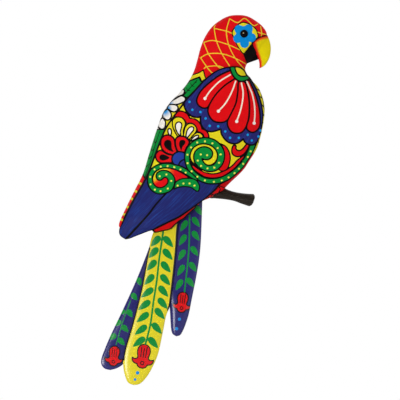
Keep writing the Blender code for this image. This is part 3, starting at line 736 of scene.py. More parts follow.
def headPrint(p):  # gold net, face flower, line under the beak, yellow collar
    w = headWork
    lattice = [
        [(229.5, 18.9), (226.4, 31.4), (228.6, 45.1), (235.3, 58.5), (244.8, 70)],
        [(215.2, 25.3), (214.2, 28.5), (216.5, 41.3), (221.9, 54), (229.5, 66.1)],
        [(203.7, 42.5), (208.5, 54), (217.4, 66.1), (221, 68.5)],
        [(200.5, 57.8), (207.2, 67.7), (212.3, 73.5)],
        [(229.5, 18.9), (237.5, 22.8), (244.8, 18.6), (253.1, 25.6), (257.6, 24.3)],
        [(214.2, 28.5), (226.4, 31.4), (231.8, 33.6)],
        [(203.7, 42.5), (210, 40.8), (216.5, 41.3), (228.6, 45.1), (240.1, 50.2)],
        [(200.5, 57.8), (208.5, 54), (221.9, 54), (235.3, 58.5), (246.1, 64.2)],
        [(204, 68.7), (207.2, 66.8), (217.4, 66.1), (223.2, 67.7)],
        [(257.6, 32.3), (261.7, 33.6), (265.9, 34.6)],
        [(260.5, 26.6), (261.7, 33.6), (261.1, 36.2)],
    ]
    for line in lattice:
        p.light(line, w["netWide"], "gold")
    face = [(241.7, 22.8), (236, 26.5), (232.1, 32.3), (233.4, 37.4), (237.2, 45.7), (241, 51.5),
            (243.9, 54.5), (243.9, 54.5), (252.2, 43.8), (257.6, 38.1), (257.6, 33.6), (255.7, 29.1),
            (251.2, 25.3), (246.1, 23.1)]
    p.area(face, "yellow", w["faceLine"])
    for lobe in headCrop([(400, 562), (662, 545), (752, 795), (556, 960), (362, 820)]):
        p.lightArea(ovalRing(lobe, w["lobe"], w["lobe"], 0), "cyan")
    p.lightArea(ovalRing(headCrop([(545, 700)])[0], w["heart"], w["heart"], 0), "cyan")
    p.inkLine(headCrop([(770, 930), (860, 850), (945, 800), (1100, 752), (1230, 728)]), w["beakLine"])
    p.area([(185, 84), (185, 77.5), (193.5, 74.6), (198.3, 73.1), (203.4, 70.3), (204.5, 75.4), (206, 79),
            (201.6, 81.5), (199.7, 77), (195.1, 78.6), (190, 80.6)], "yellow", w["collarLine"], False)


def bodyPrint(spots):  # red ground, head, the strips beside the wing, toe lines, rump line
    p = Printer(spots, "red")
    headPrint(p)
    backStrip(p)
    chestStrip(p)
    toes = [[(740, 490), (850, 530), (940, 555)], [(735, 510), (790, 600), (745, 700)],
            [(510, 740), (600, 800), (640, 770)], [(620, 760), (760, 710), (880, 650)],
            [(400, 850), (500, 880), (610, 850)], [(500, 780), (530, 850)]]
    for toe in toes:
        p.inkLine(footCrop(toe), bodyWork["toeLine"])
    w, rump = bodyWork["rumpLine"], toPhoto(bodyLoft.right)
    rump = rump[(rump[:, 0] < w["from"][0]) & (rump[:, 1] > w["from"][1])]
    p.inkLine(rump[::w["every"]], w["wide"])
    return p


backWork = {
    "midrib": [(160, 131), (155, 146), (150, 163), (145, 177)], "midribWide": 0.6, "veinWide": 0.7,
    "veinRows": (143, 151, 159, 167), "veinFrom": (158.2, 134), "veinLean": 0.36,
    "veinWays": ((-1.2, -3.6), (2.2, -2.6)), "leafVein": 0.75,
    "ropes": [(140.1, 183.5), (135.5, 191.3), (131.6, 198.7), (127.2, 206.8), (123.3, 214.0),
              (120.9, 219.2)],
    "ropeWay": ((-2.6, -1.3), (0.0, 0.0), (1.4, 0.7)), "ropeWide": 2.3,
}


def backStrip(p):  # what shows of the back, left of the wing: leaf, flower, leaf, ropes
    w = backWork

    def washed(inner, reach, fade):  # white, turning blue towards the petal's inner end
        def petal(px):
            away = np.linalg.norm(px - np.array(backCrop([inner])[0]), axis=1)
            return mixed(linear("white"), linear("sky"), (reach - away) / fade)
        return petal

    p.area([(186, 84), (187, 97), (181, 104), (175, 112), (168, 121), (164, 131), (154, 131), (156, 116),
            (162, 104), (170, 94)], "white", 0, False)
    p.area(backCrop([(900, 640), (760, 800), (640, 880), (660, 960), (560, 1060), (470, 1060), (450, 1250),
                     (300, 1300), (300, 1450), (200, 1568), (420, 1560), (900, 900)]), "yellow", 0, False)
    petals = [
        ([(800, 395), (800, 395), (842, 450), (828, 515), (780, 570), (650, 620), (520, 700), (440, 690),
          (560, 560)], "white"),
        ([(400, 835), (470, 745), (600, 668), (740, 598), (835, 628), (872, 690), (840, 752), (760, 800),
          (650, 838), (520, 845)], washed((400, 830), 5.5, 4.5)),
        ([(345, 960), (400, 850), (560, 848), (640, 890), (658, 950), (622, 1022), (550, 1056), (470, 1035),
          (400, 990)], washed((345, 960), 5.2, 3.5)),
        ([(215, 1170), (240, 1060), (345, 975), (400, 1010), (450, 1080), (468, 1170), (432, 1252),
          (360, 1290), (290, 1262)], washed((280, 1020), 6.6, 4.8)),
        ([(130, 1300), (215, 1225), (262, 1270), (298, 1340), (300, 1430), (272, 1512), (210, 1550),
          (140, 1522), (80, 1450)], "white"),
    ]
    for ring, wash in petals:
        p.area(backCrop(ring), wash, 1.5)
    p.area(backCrop([(1000, 160), (1000, 160), (1110, 128), (1262, 68), (1262, 68), (1300, 165),
                     (1365, 225), (1225, 385), (1080, 525), (905, 655), (905, 655), (812, 590), (850, 520),
                     (835, 440), (800, 390), (800, 390), (890, 260)]), "green", 1.5)
    for line in ([(1200, 150), (1060, 310), (930, 450), (865, 540)], [(1060, 310), (1010, 240)],
                 [(1060, 310), (1120, 330)], [(930, 450), (890, 370)], [(930, 450), (1000, 440)],
                 [(1130, 230), (1180, 210)]):
        p.inkLine(backCrop(line), w["leafVein"])
    p.area([(155, 129.6), (155, 129.6), (165.5, 129.6), (165.5, 129.6), (160.5, 142), (155.5, 158),
            (150, 171), (145.4, 179.6), (145.4, 179.6), (140.5, 169.5), (140.5, 169.5), (144, 165),
            (147, 150), (150, 139)], "green", 1.3)
    p.inkLine(w["midrib"], w["midribWide"])
    for y in w["veinRows"]:
        x = w["veinFrom"][0] - (y - w["veinFrom"][1]) * w["veinLean"]
        for dx, dy in w["veinWays"]:
            p.inkLine([(x, y), (x + dx, y + dy)], w["veinWide"])
    for x, y in w["ropes"]:
        p.light([(x + dx, y + dy) for dx, dy in w["ropeWay"]], w["ropeWide"], "yellow")


def chestStrip(p):  # yellow chest with small black leaves, right of the wing
    p.area([(247, 76), (253, 79), (260, 86), (266, 96), (270, 110), (269, 126), (265, 142), (259, 151),
            (250, 150), (248, 120), (254, 100), (248, 85)], "yellow", 0)
    leaves = [((254.5, 83), (259.5, 91)), ((257.8, 89.5), (262, 98.5)), ((260.3, 97), (263.8, 107)),
              ((262, 106), (264.8, 116)), ((263, 116), (264.6, 126)), ((262, 127), (263.2, 137)),
              ((259.4, 138), (260.6, 147))]
    leafWide, leafLine = 3.0, 0.75
    for start, end in leaves:
        ring = dropRing(start, end, leafWide)
        p.inkLine(np.vstack([ring, ring[:1]]), leafLine)


bodySheet = bodyGrid()
bodyFinish = [printedEnamel("body_enamel", "matt"), liningFinish]
bodyPiece = closedSheet("body_shell_printed", bodySheet, sheetThick, bodyFinish, 13)
bodyPrinted = bodyPrint(bodySheet[..., :2].reshape(-1, 2))
onHem, hemWide = np.zeros(bodySheet.shape[:2], bool), len(bodyWork["hemSteps"])
onHem[:, :hemWide] = True
onHem[:, -hemWide:] = True
bodyPrinted.paint[onHem.ravel()] = linear("back")
bodyPrinted.ink[onHem.ravel()] = Printer.far
bodyPrinted.motif[onHem.ravel()] = Printer.far
storePrint(bodyPiece, bodyPrinted)
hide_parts("body_shell")
print("body shell:", len(bodyPiece.data.polygons), "faces")


# Wing shell: laid over the body along its normals, a little domed, its tip sloping down past the rump

wingWork = {
    "back": [
        (55, 40.5), (41, 37.7), (29.5, 32), (16, 21), (4, 8), (-8.5, -5.4), (-16.4, -16.4), (-26, -29),
        (-37, -46), (-46.8, -70), (-57.8, -99.5), (-65.2, -116), (-82, -146), (-97, -176), (-99.8, -185),
        (-98, -191.5), (-91, -196.5),
    ],
    "front": [
        (55, 40.5), (64.2, 40), (69.6, 37.2), (73.2, 33.4), (75.4, 29), (79.8, 24.4), (84.6, 15.9),
        (88.2, 9), (91.6, 1.2), (94.7, -7.8), (96.6, -16.2), (97.7, -26), (96.2, -42), (92.2, -57.5),
        (83.6, -78), (76, -90.4), (70.4, -98.2), (64.6, -104.4), (57.8, -110.2), (50.6, -115.6),
        (44.5, -118.4), (38.6, -121.2), (36, -123.8), (32, -128.8), (22.5, -137.4), (14, -144.3),
        (-14.5, -164), (-34, -174), (-51, -182), (-64, -187), (-78, -192.5), (-85, -195.3), (-91, -196.5),
    ],
    "rise": 4.5, "taper": 0.5, "gap": 0.8, "seat": (0.955, 0.90), "tipStart": 0.868, "tipOut": 17.1,
    "rows": 370, "columns": 176, "mapStep": 1.5, "mapBox": ((-112.0, -208.0), (110.0, 54.0)),
    "softPasses": 3, "tipBlend": 3, "tipEnd": 0.995, "halfLine": 1.25, "tipThin": 0.6,
    "tipFrom": (158, 224), "tipOver": 4, "quill": (1.7, 2.3), "flightNear": 0.012, "strokes": (6, 300.0),
}
wingLoft = Loft((wingWork["back"], wingWork["front"]), wingWork["rise"], wingWork["taper"])


def sampleMap(values, x, z, start, step):  # bilinear reading of a map of heights
    i, j = (x - start[0]) / step, (z - start[1]) / step
    i0, j0 = np.floor(i).astype(int), np.floor(j).astype(int)
    a, b = i - i0, j - j0
    low = values[i0, j0] * (1 - a) + values[i0 + 1, j0] * a
    high = values[i0, j0 + 1] * (1 - a) + values[i0 + 1, j0 + 1] * a
    return low * (1 - b) + high * b


def wingGrid():  # the body's height map, softened, plus the wing's own dome along its normals
    w, step = wingWork, wingWork["mapStep"]
    start, end = np.array(w["mapBox"])
    gx, gz = np.meshgrid(np.arange(start[0], end[0], step), np.arange(start[1], end[1], step),
                         indexing="ij")
    seat = soften(bodyFront(gx, gz, *w["seat"]), w["softPasses"])
    slopeX, slopeZ = np.gradient(seat, step)
    s, u = np.meshgrid(alongSheet(w["rows"]), acrossSheet(w["columns"]), indexing="ij")
    spot = wingLoft.spot(s, u)
    read = [sampleMap(m, spot[..., 0], spot[..., 1], start, step) for m in (seat, slopeX, slopeZ)]
    normal = np.stack([-read[1], -read[2], np.ones_like(s)], axis=-1)
    normal /= np.linalg.norm(normal, axis=-1, keepdims=True)
    lift = w["gap"] + sheetThick + wingLoft.at(s, wingLoft.rise) * dome(u)
    point = np.dstack([spot, read[0]]) + normal * lift[..., None]
    turn = int(np.searchsorted(s[:, 0], w["tipStart"]))
    drop = ((s - s[turn, 0]) / (1 - s[turn, 0])).clip(0, 1)
    keep = (1 - easeIn(drop * w["tipBlend"]))[..., None]
    point[..., :2] = spot + (point[..., :2] - spot) * keep
    tipOut = w["tipOut"] + sheetThick
    slope = point[turn, :, 2][None] + (tipOut - point[turn, :, 2][None]) * drop
    under = read[0] + w["gap"] + sheetThick
    point[turn:, :, 2] = np.maximum(slope, under * (drop < w["tipEnd"]))[turn:]
    point[..., 2] = soften(point[..., 2], w["softPasses"])
    return point, s, u


def halfFlowers(p):  # scalloped rings, arches with white drops, red petals round a disc
    p.area(flowerCrop([(480, 318), (480, 318), (512, 230), (570, 180), (640, 163), (705, 167), (775, 189),
                       (835, 231), (882, 292), (906, 350), (906, 350), (965, 354), (1045, 378), (1115, 418),
                       (1174, 488), (1211, 568), (1226, 630), (1226, 630), (1285, 650), (1345, 690),
                       (1390, 760), (1407, 830), (1407, 880), (1407, 880), (1285, 880), (1285, 880),
                       (1266, 795), (1205, 735), (1103, 700), (1103, 700), (1094, 620), (1038, 530),
                       (950, 482), (834, 490), (834, 490), (795, 430), (748, 372), (685, 332), (600, 318)]),
           "red", 1.5)
    for gap in ([(795, 455), (850, 470), (835, 530), (790, 510)],
                [(850, 880), (905, 870), (975, 935), (910, 1010), (875, 960)]):
        p.area(flowerCrop(gap), "black", 0, False)
    arches = [
        ([(600, 830), (490, 640), (455, 500), (465, 400), (540, 332), (620, 320), (705, 340), (775, 420),
          (795, 500), (770, 580), (745, 650), (738, 740), (735, 830)],
         [(735, 280), (660, 310), (612, 385), (605, 470), (622, 560), (660, 650), (710, 735), (765, 815),
          (800, 840), (815, 790), (803, 700), (812, 610), (838, 500), (857, 410), (845, 345), (800, 298)]),
        ([(750, 830), (760, 700), (790, 585), (850, 512), (930, 488), (1020, 520), (1082, 605), (1080, 680),
          (1055, 728), (1015, 775), (975, 815), (905, 893), (830, 870)],
         [(1230, 468), (1160, 495), (1100, 555), (1055, 640), (1030, 740), (1020, 830), (1040, 895),
          (1075, 908), (1105, 865), (1180, 765), (1265, 665), (1318, 590), (1322, 520), (1285, 480)]),
        ([(905, 905), (970, 825), (1040, 758), (1110, 728), (1190, 742), (1242, 800), (1255, 860),
          (1160, 865), (1050, 912), (930, 940)],
         [(1490, 800), (1400, 815), (1320, 870), (1250, 945), (1205, 1010), (1240, 1018), (1320, 985),
          (1420, 940), (1500, 880), (1515, 830)]),
    ]
    for arch, drop in arches:
        p.area(flowerCrop(arch), "yellow", 1.2)
        p.area(petalCrop(drop), "white", 1.35)
    p.area(dropRing(*flowerCrop([(374, 618), (404, 836)]), 3.6), "white", 1.4, False)
    petals = [
        ([(150, 1010), (164, 900), (232, 814), (320, 788), (408, 806), (484, 866), (516, 960), (528, 1070),
          (556, 1160), (574, 1222), (520, 1292), (470, 1304), (400, 1290), (290, 1248), (200, 1172),
          (160, 1090)],
         throughPoints(petalCrop([(290, 975), (210, 1010), (163, 1085), (160, 1160), (190, 1245),
                                  (250, 1318), (330, 1380), (430, 1422), (550, 1462), (550, 1462),
                                  (495, 1370), (462, 1290), (455, 1200), (452, 1100), (420, 1025),
                                  (355, 982)]), True)),
        ([(530, 980), (548, 880), (615, 828), (700, 820), (795, 846), (870, 918), (896, 970), (876, 1040),
          (832, 1100), (795, 1180), (775, 1240), (720, 1245), (640, 1240), (584, 1190), (548, 1100)],
         throughPoints(petalCrop([(880, 978), (808, 998), (757, 1062), (748, 1150), (764, 1240),
                                  (796, 1320), (834, 1402), (862, 1320), (888, 1250), (938, 1184),
                                  (992, 1112), (998, 1050), (958, 998)]), True)),
        ([(15, 1330), (50, 1242), (128, 1190), (200, 1206), (270, 1254), (350, 1294), (450, 1314),
          (465, 1400), (445, 1504), (300, 1512), (150, 1516), (50, 1445)],
         dropRing(*flowerCrop([(115, 1365), (392, 1385)]), 6.2)),
    ]
    for petal, drop in petals:
        p.area(flowerCrop(petal), "red", 1.6)
        p.inkArea(drop)
    p.area(ovalRing(flowerCrop([(650, 1415)])[0], 8.0, 7.4, 0), "discBlue", 1.6, False)
    p.area(ovalRing(flowerCrop([(790, 1590)])[0], 6.4, 6.2, 0), "navy", 1.5, False)


def spirals(p):  # crescents and the large green spiral with its yellow coil and dots
    p.area(middleCrop([(1084, 136), (1084, 136), (1130, 160), (1162, 206), (1176, 258), (1174, 310),
                       (1159, 360), (1136, 394), (1093, 403), (1060, 376), (1088, 344), (1110, 305),
                       (1120, 250), (1112, 190)]), "red", 1.4)
    p.area(middleCrop([(1219, 152), (1204, 158), (1193, 193), (1197, 230), (1219, 253), (1251, 262),
                       (1284, 254), (1318, 230), (1346, 190), (1362, 148), (1338, 142), (1322, 158),
                       (1301, 184), (1276, 201), (1251, 201), (1232, 181), (1235, 158)]), "red", 1.5)
    p.area(spiralCrop([(280, 960), (400, 1120), (520, 1230), (680, 1310), (840, 1350), (960, 1345),
                       (900, 1200), (700, 1050), (480, 880)]), "black", 0)
    p.area(spiralCrop([(640, 1280), (640, 1280), (740, 1308), (839, 1325), (1011, 1325), (1154, 1289),
                       (1268, 1229), (1268, 1229), (1340, 1285), (1432, 1317), (1432, 1317), (1282, 1399),
                       (1125, 1435), (982, 1427), (825, 1383)]), "yellow", 1.2)
    p.area(middleCrop([(794, 324), (794, 324), (818, 345), (860, 377), (896, 400), (937, 418), (988, 430),
                       (1039, 428), (1088, 413), (1148, 386), (1203, 345), (1244, 300), (1278, 273),
                       (1314, 246), (1332, 226), (1332, 226), (1318, 262), (1284, 306), (1231, 366),
                       (1174, 412), (1114, 450), (1069, 464), (1014, 472), (959, 467), (919, 456),
                       (878, 431), (838, 402), (806, 366)]), "red", 1.4)
    p.light(spiralCrop([(690, 1297), (767, 1331), (862, 1362)]), 0.5, "yellow")
    coil = middleCrop([(1398, 150), (1350, 270), (1280, 365), (1190, 440), (1090, 490), (1000, 503),
                       (925, 492)])
    coil += spiralCrop([(500, 1515), (285, 1318), (150, 1040), (120, 770), (160, 590), (255, 432),
                        (490, 248), (780, 188), (1070, 262), (1275, 445), (1378, 700), (1325, 985),
                        (1140, 1182), (880, 1208), (640, 1108), (545, 1000)])
    p.area(ovalRing(spiralCrop([(800, 790)])[0], 12.4, 12.8, 0), "green", 0, False)
    p.band(coil, [5.4, 5.6, 5.6, 5.4, 4.8, 4.7, 5.6, 6.7, 7.5, 6.4, 5.6], "green", 1.5)
    p.area(ovalRing(spiralCrop([(705, 790)])[0], 9.0, 9.3, 0), "green", 0, False)
    p.area(spiralCrop([(462, 1140), (462, 1140), (380, 1062), (300, 975), (248, 880), (226, 770),
                       (252, 620), (325, 480), (440, 378), (590, 315), (760, 300), (920, 330), (1075, 410),
                       (1180, 520), (1240, 650), (1250, 770), (1215, 900), (1140, 1005), (1035, 1075),
                       (920, 1098), (815, 1065), (735, 985), (680, 890), (672, 845), (672, 845), (720, 868),
                       (800, 890), (900, 885), (985, 840), (1045, 760), (1068, 660), (1045, 565),
                       (975, 480), (870, 425), (750, 408), (630, 428), (520, 480), (430, 565), (380, 670),
                       (363, 780), (378, 900), (415, 1010)]), "yellow", 1.45)
    p.dots(spiralCrop([(780, 205), (495, 250), (265, 435), (130, 705), (135, 1018), (285, 1320),
                       (500, 1520), (1058, 280), (1255, 455), (1367, 690), (1305, 1003), (1130, 1185),
                       (875, 1210), (637, 1120), (515, 922), (625, 692), (862, 722)]), 1.0, "dotYellow")
    p.dots(middleCrop([(930, 495), (1018, 508), (1095, 495), (1162, 465), (1220, 423), (1263, 380),
                       (1305, 332), (1350, 265), (1378, 210)]), 1.0, "dotYellow")
    smallSpiral(p)


warmWork = {"split": (950, 450), "head": (350, 560), "lean": 0.6, "headOver": 230, "tip": 780,
            "tipOver": 330, "orange": 1.7, "red": 2.0, "redFrom": 0.95}


def smallSpiral(p):  # the small green spiral, its coil and wedge from yellow to red
    def warm(px):  # yellow at the left, red at the spiral's head and the wedge's tip
        w = warmWork
        x, y = (px - curlCrop([(0, 0)])[0]).T * curlZoom
        inHead = (x < w["split"][0]) & (y > w["split"][1])
        inTip = (x > w["split"][0]) | (y < w["split"][1])
        head = np.clip((y - w["head"][1] + (x - w["head"][0]) * w["lean"]) / w["headOver"], 0, 1) * inHead
        tip = np.clip((x - w["tip"]) / w["tipOver"], 0, 1) * inTip
        share = np.maximum(head, tip)
        first = mixed(linear("yellow"), linear("orange"), share * w["orange"])
        return mixed(first, linear("red"), share * w["red"] - w["redFrom"])

    p.area(ovalRing(curlCrop([(640, 600)])[0], 12.8, 13.8, 0), "green", 1.5, False)
    p.band(middleCrop([(845, 484), (770, 427), (700, 384)])
           + curlCrop([(1097, 120), (845, 72), (590, 95), (362, 200), (230, 370), (191, 560), (228, 775),
                       (370, 935), (590, 998), (855, 917), (957, 790), (985, 650)]),
           [3.0, 4.4, 5.0, 5.2, 5.0, 4.8, 4.8, 5.4, 6.4, 6.8, 6.8], "green", 1.5)
    p.area(ovalRing(curlCrop([(690, 580)])[0], 10.7, 9.9, 0), "green", 0, False)
    p.area(curlCrop([(1640, 505), (1640, 505), (1560, 440), (1430, 362), (1290, 285), (1150, 218),
                     (1000, 175), (850, 152), (700, 152), (560, 188), (430, 262), (340, 370), (290, 500),
                     (295, 640), (340, 760), (430, 850), (540, 885), (650, 872), (760, 812), (840, 720),
                     (862, 630), (840, 550), (785, 505), (735, 505), (680, 540), (620, 590), (540, 608),
                     (470, 580), (425, 500), (418, 420), (455, 340), (540, 275), (640, 243), (740, 240),
                     (850, 268), (960, 335), (1050, 425), (1105, 530), (1128, 640), (1128, 700),
                     (1128, 700), (1200, 640), (1300, 582), (1420, 548), (1550, 538)]), warm, 1.45)
    p.dots(curlCrop([(590, 100), (360, 205), (200, 480), (212, 762), (370, 960), (582, 1015), (855, 917),
                     (980, 635), (803, 395), (550, 463), (845, 80), (1097, 125), (1325, 210), (1520, 325)]),
           0.95, "dotYellow")
    p.area(middleCrop([(780, 475), (840, 490), (875, 540), (872, 588), (855, 602), (830, 588), (790, 562),
                       (720, 555)])
           + curlCrop([(1200, 888), (1088, 940), (1088, 940), (1105, 810), (1128, 705), (1128, 705),
                       (1200, 640), (1300, 582), (1420, 548)]), "green", 1.3)
    p.dots(middleCrop([(663, 545), (720, 525), (780, 525), (828, 545)]), 1.0, "dotYellow")


def petalFan(p):  # navy fan, four red petals with cream veins, blue dots, green bud
    border = [(880, 655), (800, 670), (710, 715), (640, 760), (560, 830), (480, 930), (440, 990),
              (432, 1030), (444, 1072), (470, 1109), (504, 1138), (544, 1151), (576, 1151), (594, 1142),
              (594, 1142), (592, 1180), (600, 1224), (623, 1261), (660, 1286), (705, 1292), (755, 1280),
              (792, 1268), (792, 1268), (796, 1310), (818, 1350), (846, 1382), (886, 1404), (930, 1409),
              (970, 1397), (1012, 1362), (1012, 1362), (1024, 1390), (1052, 1412), (1092, 1422),
              (1130, 1408), (1168, 1352), (1196, 1240), (1215, 1130), (1205, 1030), (1180, 930),
              (1120, 820), (1075, 780)]
    p.area(upperCrop(border), "navy", 1.7)
    petals = [
        [(893, 690), (893, 690), (790, 735), (690, 805), (600, 890), (557, 975), (570, 1030), (615, 1060),
         (660, 1055), (690, 1010), (750, 920), (830, 840), (922, 778), (922, 778), (935, 735)],
        [(922, 778), (922, 778), (830, 840), (750, 920), (690, 1010), (665, 1080), (680, 1140), (720, 1187),
         (780, 1202), (845, 1187), (898, 1120), (938, 1020), (958, 900), (967, 805), (967, 805),
         (945, 770)],
        [(967, 805), (958, 900), (940, 1010), (895, 1110), (857, 1190), (865, 1250), (900, 1295),
         (950, 1308), (1000, 1295), (1040, 1240), (1065, 1150), (1070, 1020), (1055, 900), (1030, 810)],
        [(1035, 805), (1058, 900), (1072, 1020), (1068, 1150), (1045, 1230), (1050, 1270), (1090, 1297),
         (1130, 1290), (1172, 1240), (1177, 1150), (1162, 1040), (1127, 920), (1095, 845), (1068, 790)],
    ]
    for petal in petals:
        p.area(upperCrop(petal), "red", 1.7)
    veins = [
        [(885, 735), (780, 800), (690, 890), (637, 967)],
        [(937, 798), (900, 900), (840, 1010), (768, 1092)],
        [(993, 815), (1010, 920), (990, 1060), (947, 1192)],
        [(1046, 801), (1077, 870), (1101, 932), (1120, 1026), (1125, 1120), (1118, 1208)],
    ]
    for vein in veins:
        p.light(upperCrop(vein), 1.4, "cream")
        p.dots(upperCrop(vein[-1:]), 1.6, "white")
    p.dots(upperCrop([(485, 1000), (513, 1078), (592, 1100), (643, 1163), (683, 1235), (766, 1240),
                      (835, 1290), (882, 1352), (968, 1352), (1055, 1322), (1095, 1378), (1160, 1338),
                      (1182, 1280)]), 1.25, "sky")
    p.area(upperCrop([(885, 655), (890, 700), (915, 750), (950, 785), (990, 800), (1040, 790), (1075, 765),
                      (1050, 730), (1030, 690), (985, 662), (940, 650)]), "green", 1.7)
    p.area(upperCrop([(934, 660), (940, 702), (965, 737), (1000, 750), (1045, 742), (1045, 705),
                      (985, 664)]), "yellow", 1.4)


def wingPrint(spots):  # flight blue ground with a quill line, yellow field, then the motifs
    p = Printer(spots, "flight")
    p.inkLine(curlCrop([(785, 1110), (590, 1312), (365, 1568)]) + middleCrop([(365, 842), (165, 1060)]),
              *wingWork["quill"])
    p.area([(165, 127), (158, 146), (149, 168), (148, 178), (160, 172), (180, 176), (195, 178), (215, 182),
            (235, 173), (252, 155), (266, 130), (266, 100), (240, 60), (180, 100)], "yellow", 0)
    halfFlowers(p)
    spirals(p)
    petalFan(p)
    p.light(petalCrop([(1200, 82), (1290, 124), (1400, 142), (1500, 168)]), 0.55, "yellow")
    # Black line along the wing's edge, thinner round its tip
    w = wingWork
    k, signed = p.signedTo(toPhoto(wingLoft.outline()), 4)
    left, below = w["tipFrom"][0] - p.px[k, 0], p.px[k, 1] - w["tipFrom"][1]
    tip = np.clip(below / w["tipOver"], 0, 1) * np.clip(left / w["tipOver"], 0, 1)
    p.ink[k] = np.minimum(p.ink[k], np.abs(signed) - w["halfLine"] + w["tipThin"] * tip)
    return p


wingSheet, wingShare, wingU = wingGrid()
wingFinish = [printedEnamel("wing_enamel", "matt", True), liningFinish]
wingPiece = closedSheet("wing_shell_printed", wingSheet, sheetThick, wingFinish, 6)
wingPrinted = wingPrint(wingSheet[..., :2].reshape(-1, 2))
# Strokes only where the ground is flight blue
flight = np.abs(wingPrinted.paint - linear("flight")).max(1) < wingWork["flightNear"]
across = wingU * wingLoft.at(wingShare, wingLoft.wide) ** 0.5 * wingWork["strokes"][0]
along = wingShare * wingWork["strokes"][1]
storePrint(wingPiece, wingPrinted, np.column_stack([across.ravel(), along.ravel(), flight.astype(float)]))
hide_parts("wing_shell")
print("wing shell:", len(wingPiece.data.polygons), "faces")


# Tail feathers: a flat root on the bar, a ramp, then a domed blade

featherWork = {
    "rise": 4.0, "taper": 0.4, "rootOut": 3.2, "rows": 330, "swellFrom": 0.68, "swellOver": 0.18,
    "left": {
        "edges": [
            [(-33, -86.5), (-33.5, -112), (-37, -136), (-44, -163), (-59, -208), (-75, -249), (-92, -287),
             (-111.5, -328), (-120, -348), (-124.2, -360), (-124, -368), (-119.5, -373.5), (-112, -375.5)],
            [(-18.5, -86.5), (-18.5, -112), (-20, -136), (-25.5, -163), (-43, -211), (-57, -259),
             (-71, -307), (-82.5, -344), (-87.5, -359), (-94.5, -367.5), (-103, -373), (-112, -375.5)],
        ],
        "level": 0.0, "swell": -0.35, "ramp": (22.0, 50.0), "columns": 44, "ground": "navy",
        "slot": "blue_enamel", "stem": [(335, 830), (270, 1010), (215, 1195)], "stemWide": 0.9,
        "leafWide": 5.6, "leafSets": [],
        "leaves": [
            ((395, 640), (420, 708)), ((345, 770), (390, 828)), ((310, 905), (350, 968)),
            ((265, 1035), (318, 1090)), ((235, 1140), (288, 1200)), ((282, 905), (262, 945)),
            ((252, 990), (212, 1042)), ((212, 1105), (164, 1155)),
        ],
        "bell": ((115.1, 346.1), (112.9, 365.9)), "dots": [], "edgeLines": {},
    },
    "centre": {
        "edges": [
            [(-17, -86.5), (-18, -112), (-25, -136), (-36.5, -160), (-52.6, -186), (-58.8, -208),
             (-62.4, -225), (-68.5, -259), (-75.3, -288), (-81.8, -312), (-86.2, -327.5), (-90.2, -340),
             (-93, -352), (-94.3, -365), (-93.2, -377), (-90.1, -387.7), (-86.4, -393.4), (-79.5, -396)],
            [(-2.5, -86.5), (-3, -112), (-6, -136), (-12, -157), (-18.9, -176), (-21.4, -209), (-24, -236),
             (-27, -262), (-30.3, -287), (-35.6, -302), (-40.2, -325), (-46.4, -353), (-55.2, -373.6),
             (-63.6, -386.8), (-71.5, -394.2), (-79.5, -396)],
        ],
        "level": 5.35, "swell": 0.0, "ramp": (19.0, 40.0), "columns": 64, "ground": "yellow",
        "slot": "yellow_enamel",
        "stem": [(604, 262), (582, 413), (568, 512), (552, 660), (524, 840), (502, 1007), (474, 1130),
                 (457, 1190)],
        "stemWide": 1.9, "leafWide": 6.8, "leaves": [],
        "leafSets": [
            ([(540, 342), (522, 437), (507, 540), (488, 658)], (-78, 86)),
            ([(471, 767), (446, 870), (434, 970), (418, 1074), (402, 1173)], (-102, 78)),
            ([(649, 346), (644, 450), (629, 555), (624, 660), (608, 755), (603, 855), (578, 939),
              (555, 1060), (525, 1179)], (78, 91)),
        ],
        "bell": ((145.0, 344.4), (141.6, 367.9)), "dots": [((393, 1425), 1.8), ((372, 1480), 1.4)],
        "edgeLines": {"left": (248, 360, 2.6), "right": (0, 311, 2.8)},
    },
    "right": {
        "edges": [
            [(-1, -86.5), (-2, -112), (-8, -136), (-17, -163), (-26, -197), (-31, -238), (-33, -268),
             (-30.5, -292), (-29.5, -308), (-28.8, -318), (-26.8, -325.6), (-21.6, -329.4)],
            [(13.5, -86.5), (14, -112), (14.3, -136), (13.7, -160), (12.1, -200), (9.6, -225), (5.2, -251),
             (0.2, -276), (-4.4, -299), (-9.2, -314), (-12.6, -322), (-16.2, -327.6), (-21.6, -329.4)],
        ],
        "level": 0.0, "swell": 0.7, "ramp": (22.0, 50.0), "columns": 52, "ground": "navy",
        "slot": "blue_enamel", "stem": [(822, 128), (815, 420), (780, 760)], "stemWide": 1.4,
        "leafWide": 5.6, "leaves": [],
        "leafSets": [
            ([(773, 215), (763, 331), (755, 456), (748, 581), (733, 701)], (-55, 90)),
            ([(900, 90), (877, 183), (875, 297), (865, 424), (852, 554), (832, 684)], (58, 80)),
        ],
        "bell": ((183.6, 292.2), (180.9, 312.3)), "dots": [((738, 983), 1.6), ((715, 1062), 1.6)],
        "edgeLines": {},
    },
}


def featherGrid(loft, work):  # root level, ramp to the blade's level, dome growing with the ramp
    share = alongSheet(featherWork["rows"], 0.0, 0.9988)
    s, u = np.meshgrid(share, acrossSheet(work["columns"]), indexing="ij")
    spot = loft.spot(s, u)
    start = loft.spot(np.zeros(1), np.zeros(1))[0]
    run = np.linalg.norm(loft.spot(share, np.zeros_like(share)) - start, axis=1)
    grow = easeIn((run - work["ramp"][0]) / (work["ramp"][1] - work["ramp"][0]))[:, None]
    root = featherWork["rootOut"]
    swell = 1 + work["swell"] * easeIn((s - featherWork["swellFrom"]) / featherWork["swellOver"])
    out = root + (work["level"] - root) * grow + loft.at(s, loft.rise) * swell * dome(u) * grow + sheetThick
    return np.dstack([spot, out])


